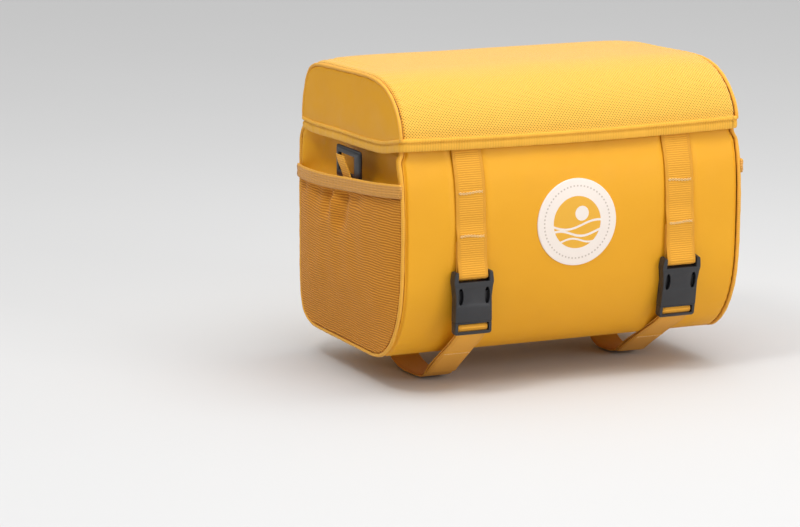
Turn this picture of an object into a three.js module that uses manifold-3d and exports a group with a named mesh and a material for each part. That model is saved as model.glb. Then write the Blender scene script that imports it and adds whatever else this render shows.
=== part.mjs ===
// A bag of coated cloth with a padded lid, stretch side pockets and two buckled straps.
// Millimetres. X runs to the right as seen from the front, the front faces -Y and +Z is up.
// The origin is the middle of the flat bottom, where the bag sits.
import * as THREE from 'three';
import Module from 'manifold-3d';
import { mergeVertices } from 'three/addons/utils/BufferGeometryUtils.js';

const wasm = await Module();
wasm.setup();

// Driving dimensions of the body
const BODY_WIDTH = 307;
const BODY_DEPTH = 216;
const BODY_HEIGHT = 190;
const CLOTH = 1.8;
const FRONT_BULGE = 3;
const SIDE_TUCK = 4.7;
const RIM_TUCK = 1.5;

// Driving dimensions of the lid
const LID_NARROWER = 0.65;
const LID_RISE = 39;
const LID_WIDTH = BODY_WIDTH - 2 * LID_NARROWER;
const LID_HEIGHT = BODY_HEIGHT + LID_RISE;
const LID_PADDING = 2.6;
const LID_CROWN = 5;
const LID_LEAN = 1.5;
const LID_HEM_HEIGHT = 7;
const LID_HEM_THICKNESS = 3;
const LID_HEM_PROUD = 0.6;
const LID_HEM_SAG = 2;
const LID_CORNER_RADIUS = 5;

// Seams, with a bead that stands a little proud of the cloth
const GAP = 0.3;
const BEAD_RADIUS = 1.9;
const BEAD_PROUD = 0.8;

// Side pockets
const POCKET_CLOTH = 1.4;
const POCKET_BULGE = 9;
const POCKET_HEM_HEIGHT = 11.5;
const POCKET_HEM_THICKNESS = 2.6;

// Webbing, its places and the bars that it goes round
const WEBBING = 1.5;
const STRAP_WIDTH = 26;
const STRAP_X = 0.308 * BODY_WIDTH;
const STRAP_TOP = 0.968 * BODY_HEIGHT;
const STRAP_TACK = 0.558 * BODY_HEIGHT;
const TAIL_FOLD = 20;
const TAIL_FOLD_THICKNESS = 2.6;
const LOOP_DROP = 0.1263 * BODY_HEIGHT;
const LOOP_BACK = 34;
const LOOP_SEWN = 24;

// Buckles
const BUCKLE_LENGTH = 52;
const BUCKLE_TOP = BUCKLE_LENGTH + 0.137 * BODY_HEIGHT;
const BUCKLE_THICKNESS = 8.4;
const BUCKLE_EAR_WIDTH = 35;
const BUCKLE_BODY_WIDTH = 32;
const BUCKLE_WAIST_WIDTH = 30.6;
const BUCKLE_SLOT_WIDTH = 27.4;
const BUCKLE_WALL = 1.5;
const BUCKLE_EAR_HEIGHT = 7;
const BUCKLE_NECK = 13;
const BUCKLE_CORNER = 1.5;
const BAR_THICKNESS = 3;
const FOOT_BAR = 3.2;
const FOOT_CORNER = 3;
const LOCK_BAR = 2.4;
const PRONG_IN = 8;
const PRONG_OUT = 11.4;
const PRONG_HOOK = 3.2;
const KEY_WIDTH = 5;
// Degrees of the lock bar that the webbing goes round
const LOCK_WRAP = 160;

// Round badge on the front
const BADGE_DIAMETER = 71;
const BADGE_THICKNESS = 1.2;
const BADGE_HEIGHT = 0.581 * BODY_HEIGHT;

// Frame and webbing tab on each end, under the lid
const CLIP_LENGTH = 50;
const CLIP_HEIGHT = 27;
const CLIP_THICKNESS = 3.2;
const CLIP_BOTTOM = 0.726 * BODY_HEIGHT;
const CLIP_Y = 1;
const CLIP_FRONT_RAIL = 12;
const CLIP_RAIL = 6;
const TAB_WIDTH = 17;
const TAB_LEAN = 0.56;
const TAB_TAIL = 22;

// Numbers of steps
const FRONT_STEPS = 20;
const BACK_STEPS = 13;
const SHELL_COLUMNS = 10;
const LID_STEPS = 22;
const LID_COLUMNS = 8;
const BEAD_SIDES = 6;
const EDGE_STEPS = 24;

// Half of the body's side outline, from the rim down the front to the flat bottom.
// y is a share of half the depth, z of the body's height, and bulge of the front bulge.
const BODY_FRONT = [
  { y: -0.893, z: 1.0, bulge: 0.2 },
  { y: -0.9, z: 0.926, bulge: 0.3 },
  { y: -0.93, z: 0.868, bulge: 0.5 },
  { y: -0.962, z: 0.805, bulge: 0.7 },
  { y: -0.983, z: 0.7, bulge: 0.92 },
  { y: -0.988, z: 0.6, bulge: 1.0 },
  { y: -0.984, z: 0.5, bulge: 1.0 },
  { y: -0.976, z: 0.4, bulge: 0.92 },
  { y: -0.957, z: 0.31, bulge: 0.8 },
  { y: -0.914, z: 0.22, bulge: 0.6 },
  { y: -0.842, z: 0.14, bulge: 0.42 },
  { y: -0.738, z: 0.07, bulge: 0.25 },
  { y: -0.603, z: 0.02, bulge: 0.1 },
  { y: -0.437, z: 0.0, bulge: 0.0 },
];

// The other half, from the flat bottom up the back to the rim, in the same shares.
const BODY_BACK = [
  { y: 0.609, z: 0.0, bulge: 0.0 },
  { y: 0.79, z: 0.008, bulge: 0.0 },
  { y: 0.915, z: 0.042, bulge: 0.05 },
  { y: 0.978, z: 0.108, bulge: 0.12 },
  { y: 0.999, z: 0.215, bulge: 0.25 },
  { y: 1.0, z: 0.45, bulge: 0.4 },
  { y: 0.99, z: 0.65, bulge: 0.35 },
  { y: 0.955, z: 0.8, bulge: 0.2 },
  { y: 0.922, z: 0.87, bulge: 0.1 },
  { y: 0.902, z: 0.926, bulge: 0.05 },
  { y: 0.888, z: 1.0, bulge: 0.0 },
];

// The lid's side outline from the hem at the front, over the top, to the hem at the back.
// y is a share of half the body's depth, z of the lid's height, and bulge of the lid's crown.
const LID_OUTLINE = [
  { y: -0.94, z: 0.805, bulge: 0.36 },
  { y: -0.933, z: 0.83, bulge: 0.36 },
  { y: -0.911, z: 0.86, bulge: 0.42 },
  { y: -0.87, z: 0.892, bulge: 0.5 },
  { y: -0.808, z: 0.925, bulge: 0.56 },
  { y: -0.722, z: 0.955, bulge: 0.6 },
  { y: -0.616, z: 0.979, bulge: 0.6 },
  { y: -0.493, z: 0.993, bulge: 0.6 },
  { y: -0.353, z: 1.0, bulge: 0.6 },
  { y: -0.139, z: 1.0, bulge: 0.6 },
  { y: 0.213, z: 0.998, bulge: 0.75 },
  { y: 0.491, z: 0.994, bulge: 0.95 },
  { y: 0.64, z: 0.991, bulge: 1.0 },
  { y: 0.752, z: 0.983, bulge: 0.95 },
  { y: 0.835, z: 0.963, bulge: 0.8 },
  { y: 0.887, z: 0.928, bulge: 0.55 },
  { y: 0.92, z: 0.88, bulge: 0.3 },
  { y: 0.945, z: 0.825, bulge: 0.1 },
  { y: 0.957, z: 0.762, bulge: 0.0 },
];

// Lower edge of the lid's hem: y as a share of half the depth, z of the lid's height.
const LID_HEM_LINE = [
  { y: -1.0, z: 0.769 },
  { y: -0.872, z: 0.761 },
  { y: -0.622, z: 0.744 },
  { y: -0.27, z: 0.735 },
  { y: 0.224, z: 0.731 },
  { y: 0.738, z: 0.724 },
  { y: 1.0, z: 0.729 },
];

// Upper edge of the pockets: y as a share of half the depth, z of the body's height.
const POCKET_LINE = [
  { y: -1.0, z: 0.797 },
  { y: -0.68, z: 0.781 },
  { y: -0.21, z: 0.76 },
  { y: 0.26, z: 0.737 },
  { y: 1.0, z: 0.716 },
];

// Gathers below the pocket's hem: across as a share of the pocket from front to back, width and
// drop as shares of its width and height, and puff as a share of its bulge.
const POCKET_GATHERS = [
  { across: 0.3, width: 0.055, drop: 0.2, puff: 0.12 },
  { across: 0.4, width: 0.05, drop: 0.24, puff: -0.2 },
  { across: 0.49, width: 0.045, drop: 0.3, puff: 0.26 },
  { across: 0.58, width: 0.05, drop: 0.26, puff: -0.24 },
  { across: 0.7, width: 0.06, drop: 0.2, puff: 0.14 },
];

// What differs between the two sides, as seen from the front: the buckle's tilt in degrees, how
// much lower it hangs and the length of the strap's free tail.
const SIDES = [
  { name: 'left', sign: -1, tilt: 1, hang: 0, tail: 66 },
  { name: 'right', sign: 1, tilt: 10, hang: 3, tail: 84 },
];

// Finishes
const finish = (color, roughness) => new THREE.MeshStandardMaterial({ color, roughness, metalness: 0 });
const COATED_CLOTH = finish(0xeba528, 0.55);
const LID_CLOTH = finish(0xf0be4e, 0.6);
const POCKET_KNIT = finish(0xb47a2c, 0.85);
const WEBBING_YELLOW = finish(0xf0ac33, 0.75);
const BINDING = finish(0xe0a23a, 0.7);
const BLACK_ACETAL = finish(0x3a3a3e, 0.4);
const BADGE_CREAM = finish(0xf3e6da, 0.6);

const HALF_DEPTH = BODY_DEPTH / 2;
const SEAM_INSET = 2 * BEAD_RADIUS - BEAD_PROUD + GAP;

// A value between two others, and a smooth step from 0 to 1
const { lerp } = THREE.MathUtils;
const step = (value, from, to) => THREE.MathUtils.smoothstep(value, from, to);

// Builds a closed mesh, turned inside out if its volume comes out negative.
function closedMesh(vertices, triangles) {
  let volume = 0;
  for (const [a, b, c] of triangles) {
    volume += vertices[a].dot(new THREE.Vector3().crossVectors(vertices[b], vertices[c]));
  }
  const index = triangles.flatMap(([a, b, c]) => (volume < 0 ? [a, c, b] : [a, b, c]));
  const geometry = new THREE.BufferGeometry().setFromPoints(vertices);
  geometry.setIndex(index);
  geometry.computeVertexNormals();
  return geometry;
}

// A sheet with a thickness, from two matching grids of points.
function sheetSolid(outer, inner) {
  const rows = outer.length;
  const columns = outer[0].length;
  const vertices = [...outer.flat(), ...inner.flat()];
  const at = (row, column, layer) => (layer * rows + row) * columns + column;
  const triangles = [];
  const quad = (a, b, c, d) => triangles.push([a, b, c], [a, c, d]);
  for (let i = 0; i + 1 < rows; i++) {
    for (let j = 0; j + 1 < columns; j++) {
      quad(at(i, j, 0), at(i + 1, j, 0), at(i + 1, j + 1, 0), at(i, j + 1, 0));
      quad(at(i, j, 1), at(i, j + 1, 1), at(i + 1, j + 1, 1), at(i + 1, j, 1));
    }
    quad(at(i, 0, 0), at(i, 0, 1), at(i + 1, 0, 1), at(i + 1, 0, 0));
    quad(at(i, columns - 1, 0), at(i + 1, columns - 1, 0), at(i + 1, columns - 1, 1), at(i, columns - 1, 1));
  }
  for (let j = 0; j + 1 < columns; j++) {
    quad(at(0, j, 0), at(0, j + 1, 0), at(0, j + 1, 1), at(0, j, 1));
    quad(at(rows - 1, j, 0), at(rows - 1, j, 1), at(rows - 1, j + 1, 1), at(rows - 1, j + 1, 0));
  }
  return closedMesh(vertices, triangles);
}

// A solid through matching closed loops of points, with flat ends or closed on itself.
function sweepSolid(loops, closed = false) {
  const sides = loops[0].length;
  const vertices = loops.flat();
  const triangles = [];
  const spans = closed ? loops.length : loops.length - 1;
  for (let i = 0; i < spans; i++) {
    const here = i * sides;
    const next = ((i + 1) % loops.length) * sides;
    for (let j = 0; j < sides; j++) {
      const k = (j + 1) % sides;
      triangles.push([here + j, next + j, next + k], [here + j, next + k, here + k]);
    }
  }
  if (!closed) {
    const last = (loops.length - 1) * sides;
    for (let j = 1; j + 1 < sides; j++) {
      triangles.push([0, j, j + 1], [last, last + j + 1, last + j]);
    }
  }
  return closedMesh(vertices, triangles);
}

// Manifold solids for the moulded pieces
function toManifold(geometry) {
  const plain = geometry.clone();
  plain.deleteAttribute('normal');
  plain.deleteAttribute('uv');
  const merged = mergeVertices(plain);
  return new wasm.Manifold(new wasm.Mesh({
    numProp: 3,
    vertProperties: new Float32Array(merged.attributes.position.array),
    triVerts: new Uint32Array(merged.index.array),
  }));
}

function fromManifold(solid) {
  const mesh = solid.getMesh();
  const geometry = new THREE.BufferGeometry();
  geometry.setAttribute('position', new THREE.BufferAttribute(mesh.vertProperties, 3));
  geometry.setIndex(new THREE.BufferAttribute(mesh.triVerts, 1));
  geometry.computeVertexNormals();
  return geometry;
}

// A block between two corners
function block(x0, x1, y0, y1, z0, z1) {
  const box = new THREE.BoxGeometry(x1 - x0, y1 - y0, z1 - z0);
  box.translate((x0 + x1) / 2, (y0 + y1) / 2, (z0 + z1) / 2);
  return toManifold(box);
}

// A round bar along X, in as many flats as a bead has sides twice over
function bar(halfLength, diameter, z) {
  const rod = new THREE.CylinderGeometry(diameter / 2, diameter / 2, 2 * halfLength, 2 * BEAD_SIDES);
  rod.rotateZ(Math.PI / 2);
  rod.translate(0, 0, z);
  return toManifold(rod);
}

// A plate with an outline in X and Z, between two places in Y
function plate(outline, y0, y1) {
  const shape = new THREE.Shape(outline.map(([x, z]) => new THREE.Vector2(x, z)));
  const geometry = new THREE.ExtrudeGeometry(shape, { depth: y1 - y0, bevelEnabled: false });
  geometry.rotateX(Math.PI / 2);
  geometry.translate(0, y1, 0);
  return toManifold(geometry);
}

// Evenly spaced points of an outline, each with its normal and its share of the bulge
function spacedOutline(table, depth, height, steps) {
  const points = table.map((row) => new THREE.Vector3(row.bulge ?? 0, row.y * depth, row.z * height));
  return new THREE.CatmullRomCurve3(points, false, 'centripetal').getSpacedPoints(steps)
    .map((point) => ({ y: point.y, z: point.z, bulge: point.x }));
}

// Adds the outward normal to each point of an outline, which lies to the right of its travel
// when turn is 1 and to the left when it is -1.
function withNormals(points, turn) {
  const direction = (a, b) => new THREE.Vector2(b.y - a.y, b.z - a.z).normalize();
  return points.map((point, i) => {
    const along = new THREE.Vector2();
    if (i > 0) along.add(direction(points[i - 1], point));
    if (i + 1 < points.length) along.add(direction(point, points[i + 1]));
    along.normalize();
    return { ...point, ny: turn * along.y, nz: -turn * along.x };
  });
}

// The value of z on a table or list of points at a place y, and of y at a height z
function heightAt(points, y) {
  const rising = points[0].y < points[points.length - 1].y ? points : [...points].reverse();
  const i = Math.max(1, rising.findIndex((point, k) => k > 0 && point.y >= y));
  const a = rising[i - 1];
  const b = rising[i];
  return lerp(a.z, b.z, (y - a.y) / (b.y - a.y));
}

function depthAt(points, z) {
  const rising = points[0].z < points[points.length - 1].z ? points : [...points].reverse();
  const found = rising.findIndex((point, k) => k > 0 && point.z >= z);
  const i = found < 1 ? rising.length - 1 : found;
  const a = rising[i - 1];
  const b = rising[i];
  return lerp(a.y, b.y, (z - a.z) / (b.z - a.z));
}

const hemLine = spacedOutline(LID_HEM_LINE, HALF_DEPTH, LID_HEIGHT, EDGE_STEPS);
const pocketLine = spacedOutline(POCKET_LINE, HALF_DEPTH, BODY_HEIGHT, EDGE_STEPS);

// Body: its outline, and half its width, which draws in under the lid
const bodyFront = spacedOutline(BODY_FRONT, HALF_DEPTH, BODY_HEIGHT, FRONT_STEPS);
const bodyBack = spacedOutline(BODY_BACK, HALF_DEPTH, BODY_HEIGHT, BACK_STEPS);
const bodyRows = withNormals([...bodyFront, ...bodyBack], 1);
const frontRows = bodyRows.slice(0, bodyFront.length);
const backRows = bodyRows.slice(bodyFront.length);

function bodyHalfWidth(z) {
  const share = z / BODY_HEIGHT;
  return BODY_WIDTH / 2 - SIDE_TUCK * step(share, 0.7, 0.88) - RIM_TUCK * step(share, 0.9, 1);
}

// A point of the shell's outer face, or as far out from it as offset says
function bodyPoint(row, x, offset) {
  const swell = FRONT_BULGE * row.bulge * Math.cos((Math.PI / 2) * (x / (BODY_WIDTH / 2)));
  return new THREE.Vector3(x, row.y + row.ny * (swell + offset), row.z + row.nz * (swell + offset));
}

function shellPanel() {
  const layer = (offset) => bodyRows.map((row) => {
    const half = bodyHalfWidth(row.z) - SEAM_INSET;
    return Array.from({ length: SHELL_COLUMNS + 1 }, (_, j) =>
      bodyPoint(row, lerp(-half, half, j / SHELL_COLUMNS), offset));
  });
  return sheetSolid(layer(0), layer(-CLOTH));
}

// The outline of an end, drawn in from the shell's face by the bead
const insetRows = (rows, inset) => rows.map((row) => ({
  y: row.y - row.ny * inset,
  z: row.z - row.nz * inset,
}));
const endFront = insetRows(frontRows, SEAM_INSET + GAP / 2);
const endBack = insetRows(backRows, SEAM_INSET + GAP / 2);

function sidePanel(sign) {
  const columns = 6;
  const layer = (x) => endFront.map(({ z }) => (
    Array.from({ length: columns + 1 }, (_, j) => new THREE.Vector3(
      sign * (bodyHalfWidth(z) - x),
      lerp(depthAt(endFront, z), depthAt(endBack, z), j / columns),
      z,
    ))
  ));
  return sheetSolid(layer(0), layer(CLOTH));
}

// A bead along an outline, at the corner between a panel and an end
function bead(rows, halfWidth, sign) {
  const inward = BEAD_RADIUS - BEAD_PROUD;
  return sweepSolid(rows.map((row) => Array.from({ length: BEAD_SIDES }, (_, j) => {
    const angle = (j / BEAD_SIDES) * 2 * Math.PI;
    const out = BEAD_RADIUS * Math.cos(angle) - inward;
    const across = BEAD_RADIUS * Math.sin(angle) - inward;
    return new THREE.Vector3(
      sign * (halfWidth(row.z) + across),
      row.y + row.ny * out,
      row.z + row.nz * out,
    );
  })));
}

// How far a pocket stands off the end: across runs from front to back and up from the bottom seam
function pocketBulge(across, up) {
  const spread = 1 - Math.abs(2 * across - 1) ** 4;
  const rise = step(up, -0.05, 0.5) * lerp(1, 0.78, step(up, 0.7, 1));
  let bulge = spread * rise;
  for (const fold of POCKET_GATHERS) {
    const near = Math.exp(-(((across - fold.across) / fold.width) ** 2));
    bulge += fold.puff * near * step(up, 1 - fold.drop, 1);
  }
  return POCKET_BULGE * Math.max(0, bulge * step(up, 0, 0.08));
}

// A point of the pocket's inner face: across and up are shares of its width and height
function pocketPoint(sign, across, up, offset) {
  const bottom = SEAM_INSET;
  const top = (y) => heightAt(pocketLine, y) - POCKET_HEM_HEIGHT - GAP;
  let y = lerp(-HALF_DEPTH, HALF_DEPTH, across);
  let z = lerp(bottom, top(y), up);
  for (let pass = 0; pass < 4; pass++) {
    y = lerp(depthAt(endFront, z), depthAt(endBack, z), across);
    z = lerp(bottom, top(y), up);
  }
  const x = bodyHalfWidth(z) + GAP + pocketBulge(across, up) + offset;
  return new THREE.Vector3(sign * x, y, z);
}

function pocket(sign) {
  const rows = 11;
  const columns = 20;
  const layer = (offset) => Array.from({ length: rows + 1 }, (_, i) =>
    Array.from({ length: columns + 1 }, (_, j) =>
      pocketPoint(sign, j / columns, (i / rows) ** 1.3, offset)));
  return sheetSolid(layer(POCKET_CLOTH), layer(0));
}

function pocketHem(sign) {
  const steps = 14;
  const proud = (POCKET_HEM_THICKNESS - POCKET_CLOTH) / 2;
  return sweepSolid(Array.from({ length: steps + 1 }, (_, i) => {
    const across = i / steps;
    const inner = pocketPoint(sign, across, 1, Math.max(0, -proud));
    const outer = pocketPoint(sign, across, 1, POCKET_CLOTH + 2 * proud);
    const low = inner.z + GAP;
    const high = low + POCKET_HEM_HEIGHT;
    const soft = POCKET_HEM_THICKNESS / 3;
    return [
      new THREE.Vector3(inner.x, inner.y, low),
      new THREE.Vector3(outer.x, inner.y, low + soft),
      new THREE.Vector3(outer.x, inner.y, high - soft),
      new THREE.Vector3(inner.x, inner.y, high),
    ];
  }));
}

// Lid: its outline, and half its width, which leans in towards the top
const lidRows = withNormals(spacedOutline(LID_OUTLINE, HALF_DEPTH, LID_HEIGHT, LID_STEPS), -1);
const lidHalfWidth = (z) => LID_WIDTH / 2 - LID_LEAN * step(z / LID_HEIGHT, 0.8, 1);

// The lid stands up from its end seams at once and is nearly flat between them
const lidCrown = (row, x) => LID_CROWN * row.bulge * (1 - Math.abs(x / (LID_WIDTH / 2)) ** 6);

function lidPoint(row, x, offset) {
  const swell = lidCrown(row, x);
  return new THREE.Vector3(x, row.y + row.ny * (swell + offset), row.z + row.nz * (swell + offset));
}

// The hem hangs a little lower in the middle of the front, and the panel above it follows
function hemSag(x, y) {
  const atFront = step(-y / HALF_DEPTH, 0.78, 0.93);
  return LID_HEM_SAG * atFront * Math.cos((Math.PI / 2) * (x / (LID_WIDTH / 2)));
}

function lidPanel() {
  const layer = (offset) => lidRows.map((row) => {
    const half = lidHalfWidth(row.z) - SEAM_INSET;
    return Array.from({ length: LID_COLUMNS + 1 }, (_, j) => {
      const across = Math.sin((Math.PI / 2) * (2 * (j / LID_COLUMNS) - 1));
      const point = lidPoint(row, half * across, offset);
      point.z -= hemSag(point.x, row.y) * (1 - step(row.z / LID_HEIGHT, 0.81, 0.9));
      return point;
    });
  });
  return sheetSolid(layer(0), layer(-LID_PADDING));
}

// The points of a line that lie above a floor, with the places where it crosses the floor
function clippedAbove(points, floor) {
  const rise = (point) => point.z - floor(point.y);
  const clipped = [];
  points.forEach((point, i) => {
    const before = points[Math.max(0, i - 1)];
    if (rise(point) > 0 !== rise(before) > 0) {
      const share = rise(before) / (rise(before) - rise(point));
      clipped.push({ y: lerp(before.y, point.y, share), z: lerp(before.z, point.z, share) });
    }
    if (rise(point) > 0) clipped.push(point);
  });
  return clipped;
}

function lidGusset(sign) {
  const levels = 4;
  const low = (y) => heightAt(hemLine, y) + LID_HEM_HEIGHT + 2 * GAP;
  const arch = clippedAbove(insetRows(lidRows, SEAM_INSET), (y) => low(y) + CLOTH);
  const layer = (x) => arch.map((point) => Array.from({ length: levels + 1 }, (_, i) => {
    const z = lerp(low(point.y), point.z, i / levels);
    return new THREE.Vector3(sign * (lidHalfWidth(z) - x), point.y, z);
  }));
  return sheetSolid(layer(0), layer(CLOTH));
}

// The lid's lower edge in plan, as points with their outward direction
function lidLoop() {
  const steps = 10;
  const half = LID_WIDTH / 2;
  const radius = LID_CORNER_RADIUS;
  const front = lidRows[0];
  const back = lidRows[lidRows.length - 1];
  const sides = [
    { from: [-half + radius, front.y], to: [half - radius, front.y], out: [0, -1] },
    { from: [half, front.y + radius], to: [half, back.y - radius], out: [1, 0] },
    { from: [half - radius, back.y], to: [-half + radius, back.y], out: [0, 1] },
    { from: [-half, back.y - radius], to: [-half, front.y + radius], out: [-1, 0] },
  ];
  const loop = [];
  sides.forEach((side, k) => {
    for (let i = 0; i <= steps; i++) {
      const x = lerp(side.from[0], side.to[0], i / steps);
      const y = lerp(side.from[1], side.to[1], i / steps);
      loop.push({ x, y, nx: side.out[0], ny: side.out[1] });
    }
    const next = sides[(k + 1) % sides.length];
    const nx = (side.out[0] + next.out[0]) * Math.SQRT1_2;
    const ny = (side.out[1] + next.out[1]) * Math.SQRT1_2;
    const centre = [side.to[0] - side.out[0] * radius, side.to[1] - side.out[1] * radius];
    loop.push({ x: centre[0] + nx * radius, y: centre[1] + ny * radius, nx, ny });
  });
  return loop;
}

function lidHem() {
  const proud = LID_HEM_PROUD;
  const soft = LID_HEM_THICKNESS / 3;
  return sweepSolid(lidLoop().map(({ x, y, nx, ny }) => {
    const swell = lidCrown(lidRows[0], x) * Math.max(0, -ny);
    const low = heightAt(hemLine, y) - hemSag(x, y);
    const high = low + LID_HEM_HEIGHT;
    const at = (out, z) => new THREE.Vector3(x + nx * (swell + out), y + ny * (swell + out), z);
    return [
      at(proud - LID_HEM_THICKNESS, low + soft / 2),
      at(proud - soft, low),
      at(proud, low + soft),
      at(proud, high - soft),
      at(proud - soft, high),
      at(proud - LID_HEM_THICKNESS, high),
    ];
  }), true);
}

// The front panel's face at a height: its outline row, found between the rows of the shell
function frontRowAt(z) {
  const i = frontRows.findIndex((row) => row.z <= z);
  const b = frontRows[Math.max(1, i)];
  const a = frontRows[Math.max(1, i) - 1];
  const share = (z - a.z) / (b.z - a.z);
  const row = {};
  for (const key of ['y', 'z', 'bulge', 'ny', 'nz']) row[key] = lerp(a[key], b[key], share);
  return row;
}

// Webbing along a path in Y and Z, as loops of four corners. lean is the share of the front
// panel's slope across the strap that a point of the path follows.
function ribbon(path, centre, width, thicknessAt = () => WEBBING) {
  const points = withNormals(path, 1);
  return sweepSolid(points.map((point, i) => {
    const half = thicknessAt(i) / 2;
    const corner = (x, out) => {
      const row = frontRowAt(point.z);
      const lean = (point.lean ?? 0) * (bodyPoint(row, x, 0).y - bodyPoint(row, centre, 0).y);
      return new THREE.Vector3(x, point.y + point.ny * out + lean, point.z + point.nz * out);
    };
    const [x0, x1] = [centre - width / 2, centre + width / 2];
    return [corner(x0, half), corner(x1, half), corner(x1, -half), corner(x0, -half)];
  }));
}

// Places inside the buckle, up and down from its middle and out from its middle plane
const HALF_BUCKLE = BUCKLE_LENGTH / 2;
const BAR_Z = HALF_BUCKLE - BAR_THICKNESS / 2 - 2;
const BODY_TOP_Z = BAR_Z - BAR_THICKNESS / 2 - WEBBING - 3 * GAP - 1;
const MOUTH_Z = -15;
const SHOULDER = 1.1;
const LOCK_BAR_Z = MOUTH_Z - 4.6;
const WINDOW_LOW = -1.5;
const WINDOW_HIGH = 11.6;
const WEBBING_CENTRE = BAR_THICKNESS / 2 + GAP + WEBBING / 2;

// The buckle's frame for a side: a turn about X and a place, as near the front panel as its
// back face and its outer edges allow
function buckleFrame(side) {
  const tilt = THREE.MathUtils.degToRad(side.tilt);
  const z = BUCKLE_TOP - HALF_BUCKLE - side.hang;
  const at = (y, localY, localZ) => ({
    y: y + localY * Math.cos(tilt) - localZ * Math.sin(tilt),
    z: z + localY * Math.sin(tilt) + localZ * Math.cos(tilt),
  });
  const reach = BUCKLE_THICKNESS / 2 + 2 * GAP;
  const nearest = Array.from({ length: 2 * BEAD_SIDES + 1 }, (_, i) => {
    const back = at(0, reach, lerp(-HALF_BUCKLE, HALF_BUCKLE, i / (2 * BEAD_SIDES)));
    return bodyPoint(frontRowAt(back.z), STRAP_X - BUCKLE_EAR_WIDTH / 2, 0).y - back.y;
  });
  const y = Math.min(...nearest);
  return { tilt, y, z, place: (localY, localZ) => at(y, localY, localZ) };
}

// Points of an arc in the buckle's own plane
function arc(frame, centreY, centreZ, radius, from, to, steps) {
  return Array.from({ length: steps + 1 }, (_, i) => {
    const angle = THREE.MathUtils.degToRad(lerp(from, to, i / steps));
    return frame.place(centreY + radius * Math.cos(angle), centreZ + radius * Math.sin(angle));
  });
}

// The upper strap: sewn down the front, round the buckle's bar and back up to its lower tack
function upperStrap(side) {
  const frame = buckleFrame(side);
  const x = side.sign * STRAP_X;
  const close = GAP + WEBBING / 2;
  const apart = close + WEBBING + GAP;
  const onPanel = (z, out, lean) => {
    const point = bodyPoint(frontRowAt(z), x, out);
    return { y: point.y, z: point.z, lean };
  };
  const sewn = frontRows.map((row) => row.z).filter((z) => z < STRAP_TOP && z > STRAP_TACK + 8);
  const barHeight = frame.place(0, BAR_Z).z;
  const path = [
    onPanel(STRAP_TOP, close, 1),
    ...sewn.map((z) => onPanel(z, close, 1)),
    onPanel(STRAP_TACK + 4, close + 0.3 * WEBBING, 1),
    onPanel(STRAP_TACK, apart + GAP, 1),
    onPanel(STRAP_TACK - 5, apart + 2 * GAP, 0.8),
    onPanel(lerp(STRAP_TACK, barHeight, 0.55), apart + 4 * GAP, 0.4),
    ...arc(frame, 0, BAR_Z, WEBBING_CENTRE, 180, 360, 6),
    onPanel(lerp(barHeight, STRAP_TACK, 0.5), close + GAP, 0.4),
    onPanel(STRAP_TACK - 4, close, 1),
  ];
  return ribbon(path, x, STRAP_WIDTH);
}

// The lower strap: from the end of its free tail up through the ladder-lock, down again under
// the bag, round the loop's eye and along the bottom, where it is sewn
function lowerStrap(side) {
  const frame = buckleFrame(side);
  const x = side.sign * STRAP_X;
  const lockRadius = LOCK_BAR / 2 + GAP + WEBBING / 2;
  const pitch = WEBBING + 1.5 * GAP;
  const exit = frame.place(0.4, -HALF_BUCKLE - 1);
  const eyeFront = { y: -HALF_DEPTH * 0.3, z: -LOOP_DROP + 1 };
  const fall = new THREE.Vector2(eyeFront.y - exit.y, eyeFront.z - exit.z).normalize();
  const out = new THREE.Vector2(fall.y, -fall.x);
  const along = (distance, offset) => ({
    y: exit.y + fall.x * distance + out.x * offset,
    z: exit.z + fall.y * distance + out.y * offset,
  });
  const run = Math.hypot(eyeFront.y - exit.y, eyeFront.z - exit.z);
  const tailOut = (TAIL_FOLD_THICKNESS - WEBBING) / 2;
  const path = [
    along(side.tail, tailOut),
    along(side.tail - TAIL_FOLD, tailOut),
    along(side.tail - TAIL_FOLD - 1.5, 0),
    along(12, 0),
    frame.place(0.2, -HALF_BUCKLE + 1),
    frame.place(-0.4, LOCK_BAR_Z - 3.6),
    frame.place(-lockRadius, LOCK_BAR_Z - 1),
    ...arc(frame, 0, LOCK_BAR_Z, lockRadius, 90 + LOCK_WRAP / 2, 90 - LOCK_WRAP / 2, 6),
    frame.place(lockRadius + 0.2, LOCK_BAR_Z - 2),
    frame.place(pitch + 0.6, -HALF_BUCKLE + 1),
    along(12, -pitch),
    along(run * 0.75, -pitch),
    { y: eyeFront.y - 2, z: eyeFront.z + 1.6 },
    { y: lerp(eyeFront.y, LOOP_BACK, 0.25), z: -LOOP_DROP },
    { y: lerp(eyeFront.y, LOOP_BACK, 0.55), z: -LOOP_DROP },
    { y: lerp(eyeFront.y, LOOP_BACK, 0.8), z: -LOOP_DROP * 0.8 },
    { y: lerp(eyeFront.y, LOOP_BACK, 0.95), z: -LOOP_DROP * 0.42 },
    { y: LOOP_BACK + 4, z: -GAP - WEBBING / 2 - 1 },
    { y: LOOP_BACK + 7, z: -GAP - WEBBING / 2 },
    { y: LOOP_BACK + LOOP_SEWN, z: -GAP - WEBBING / 2 },
  ];
  const folded = (i) => (i < 2 ? TAIL_FOLD_THICKNESS : WEBBING);
  return ribbon(path, x, STRAP_WIDTH, folded);
}

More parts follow.
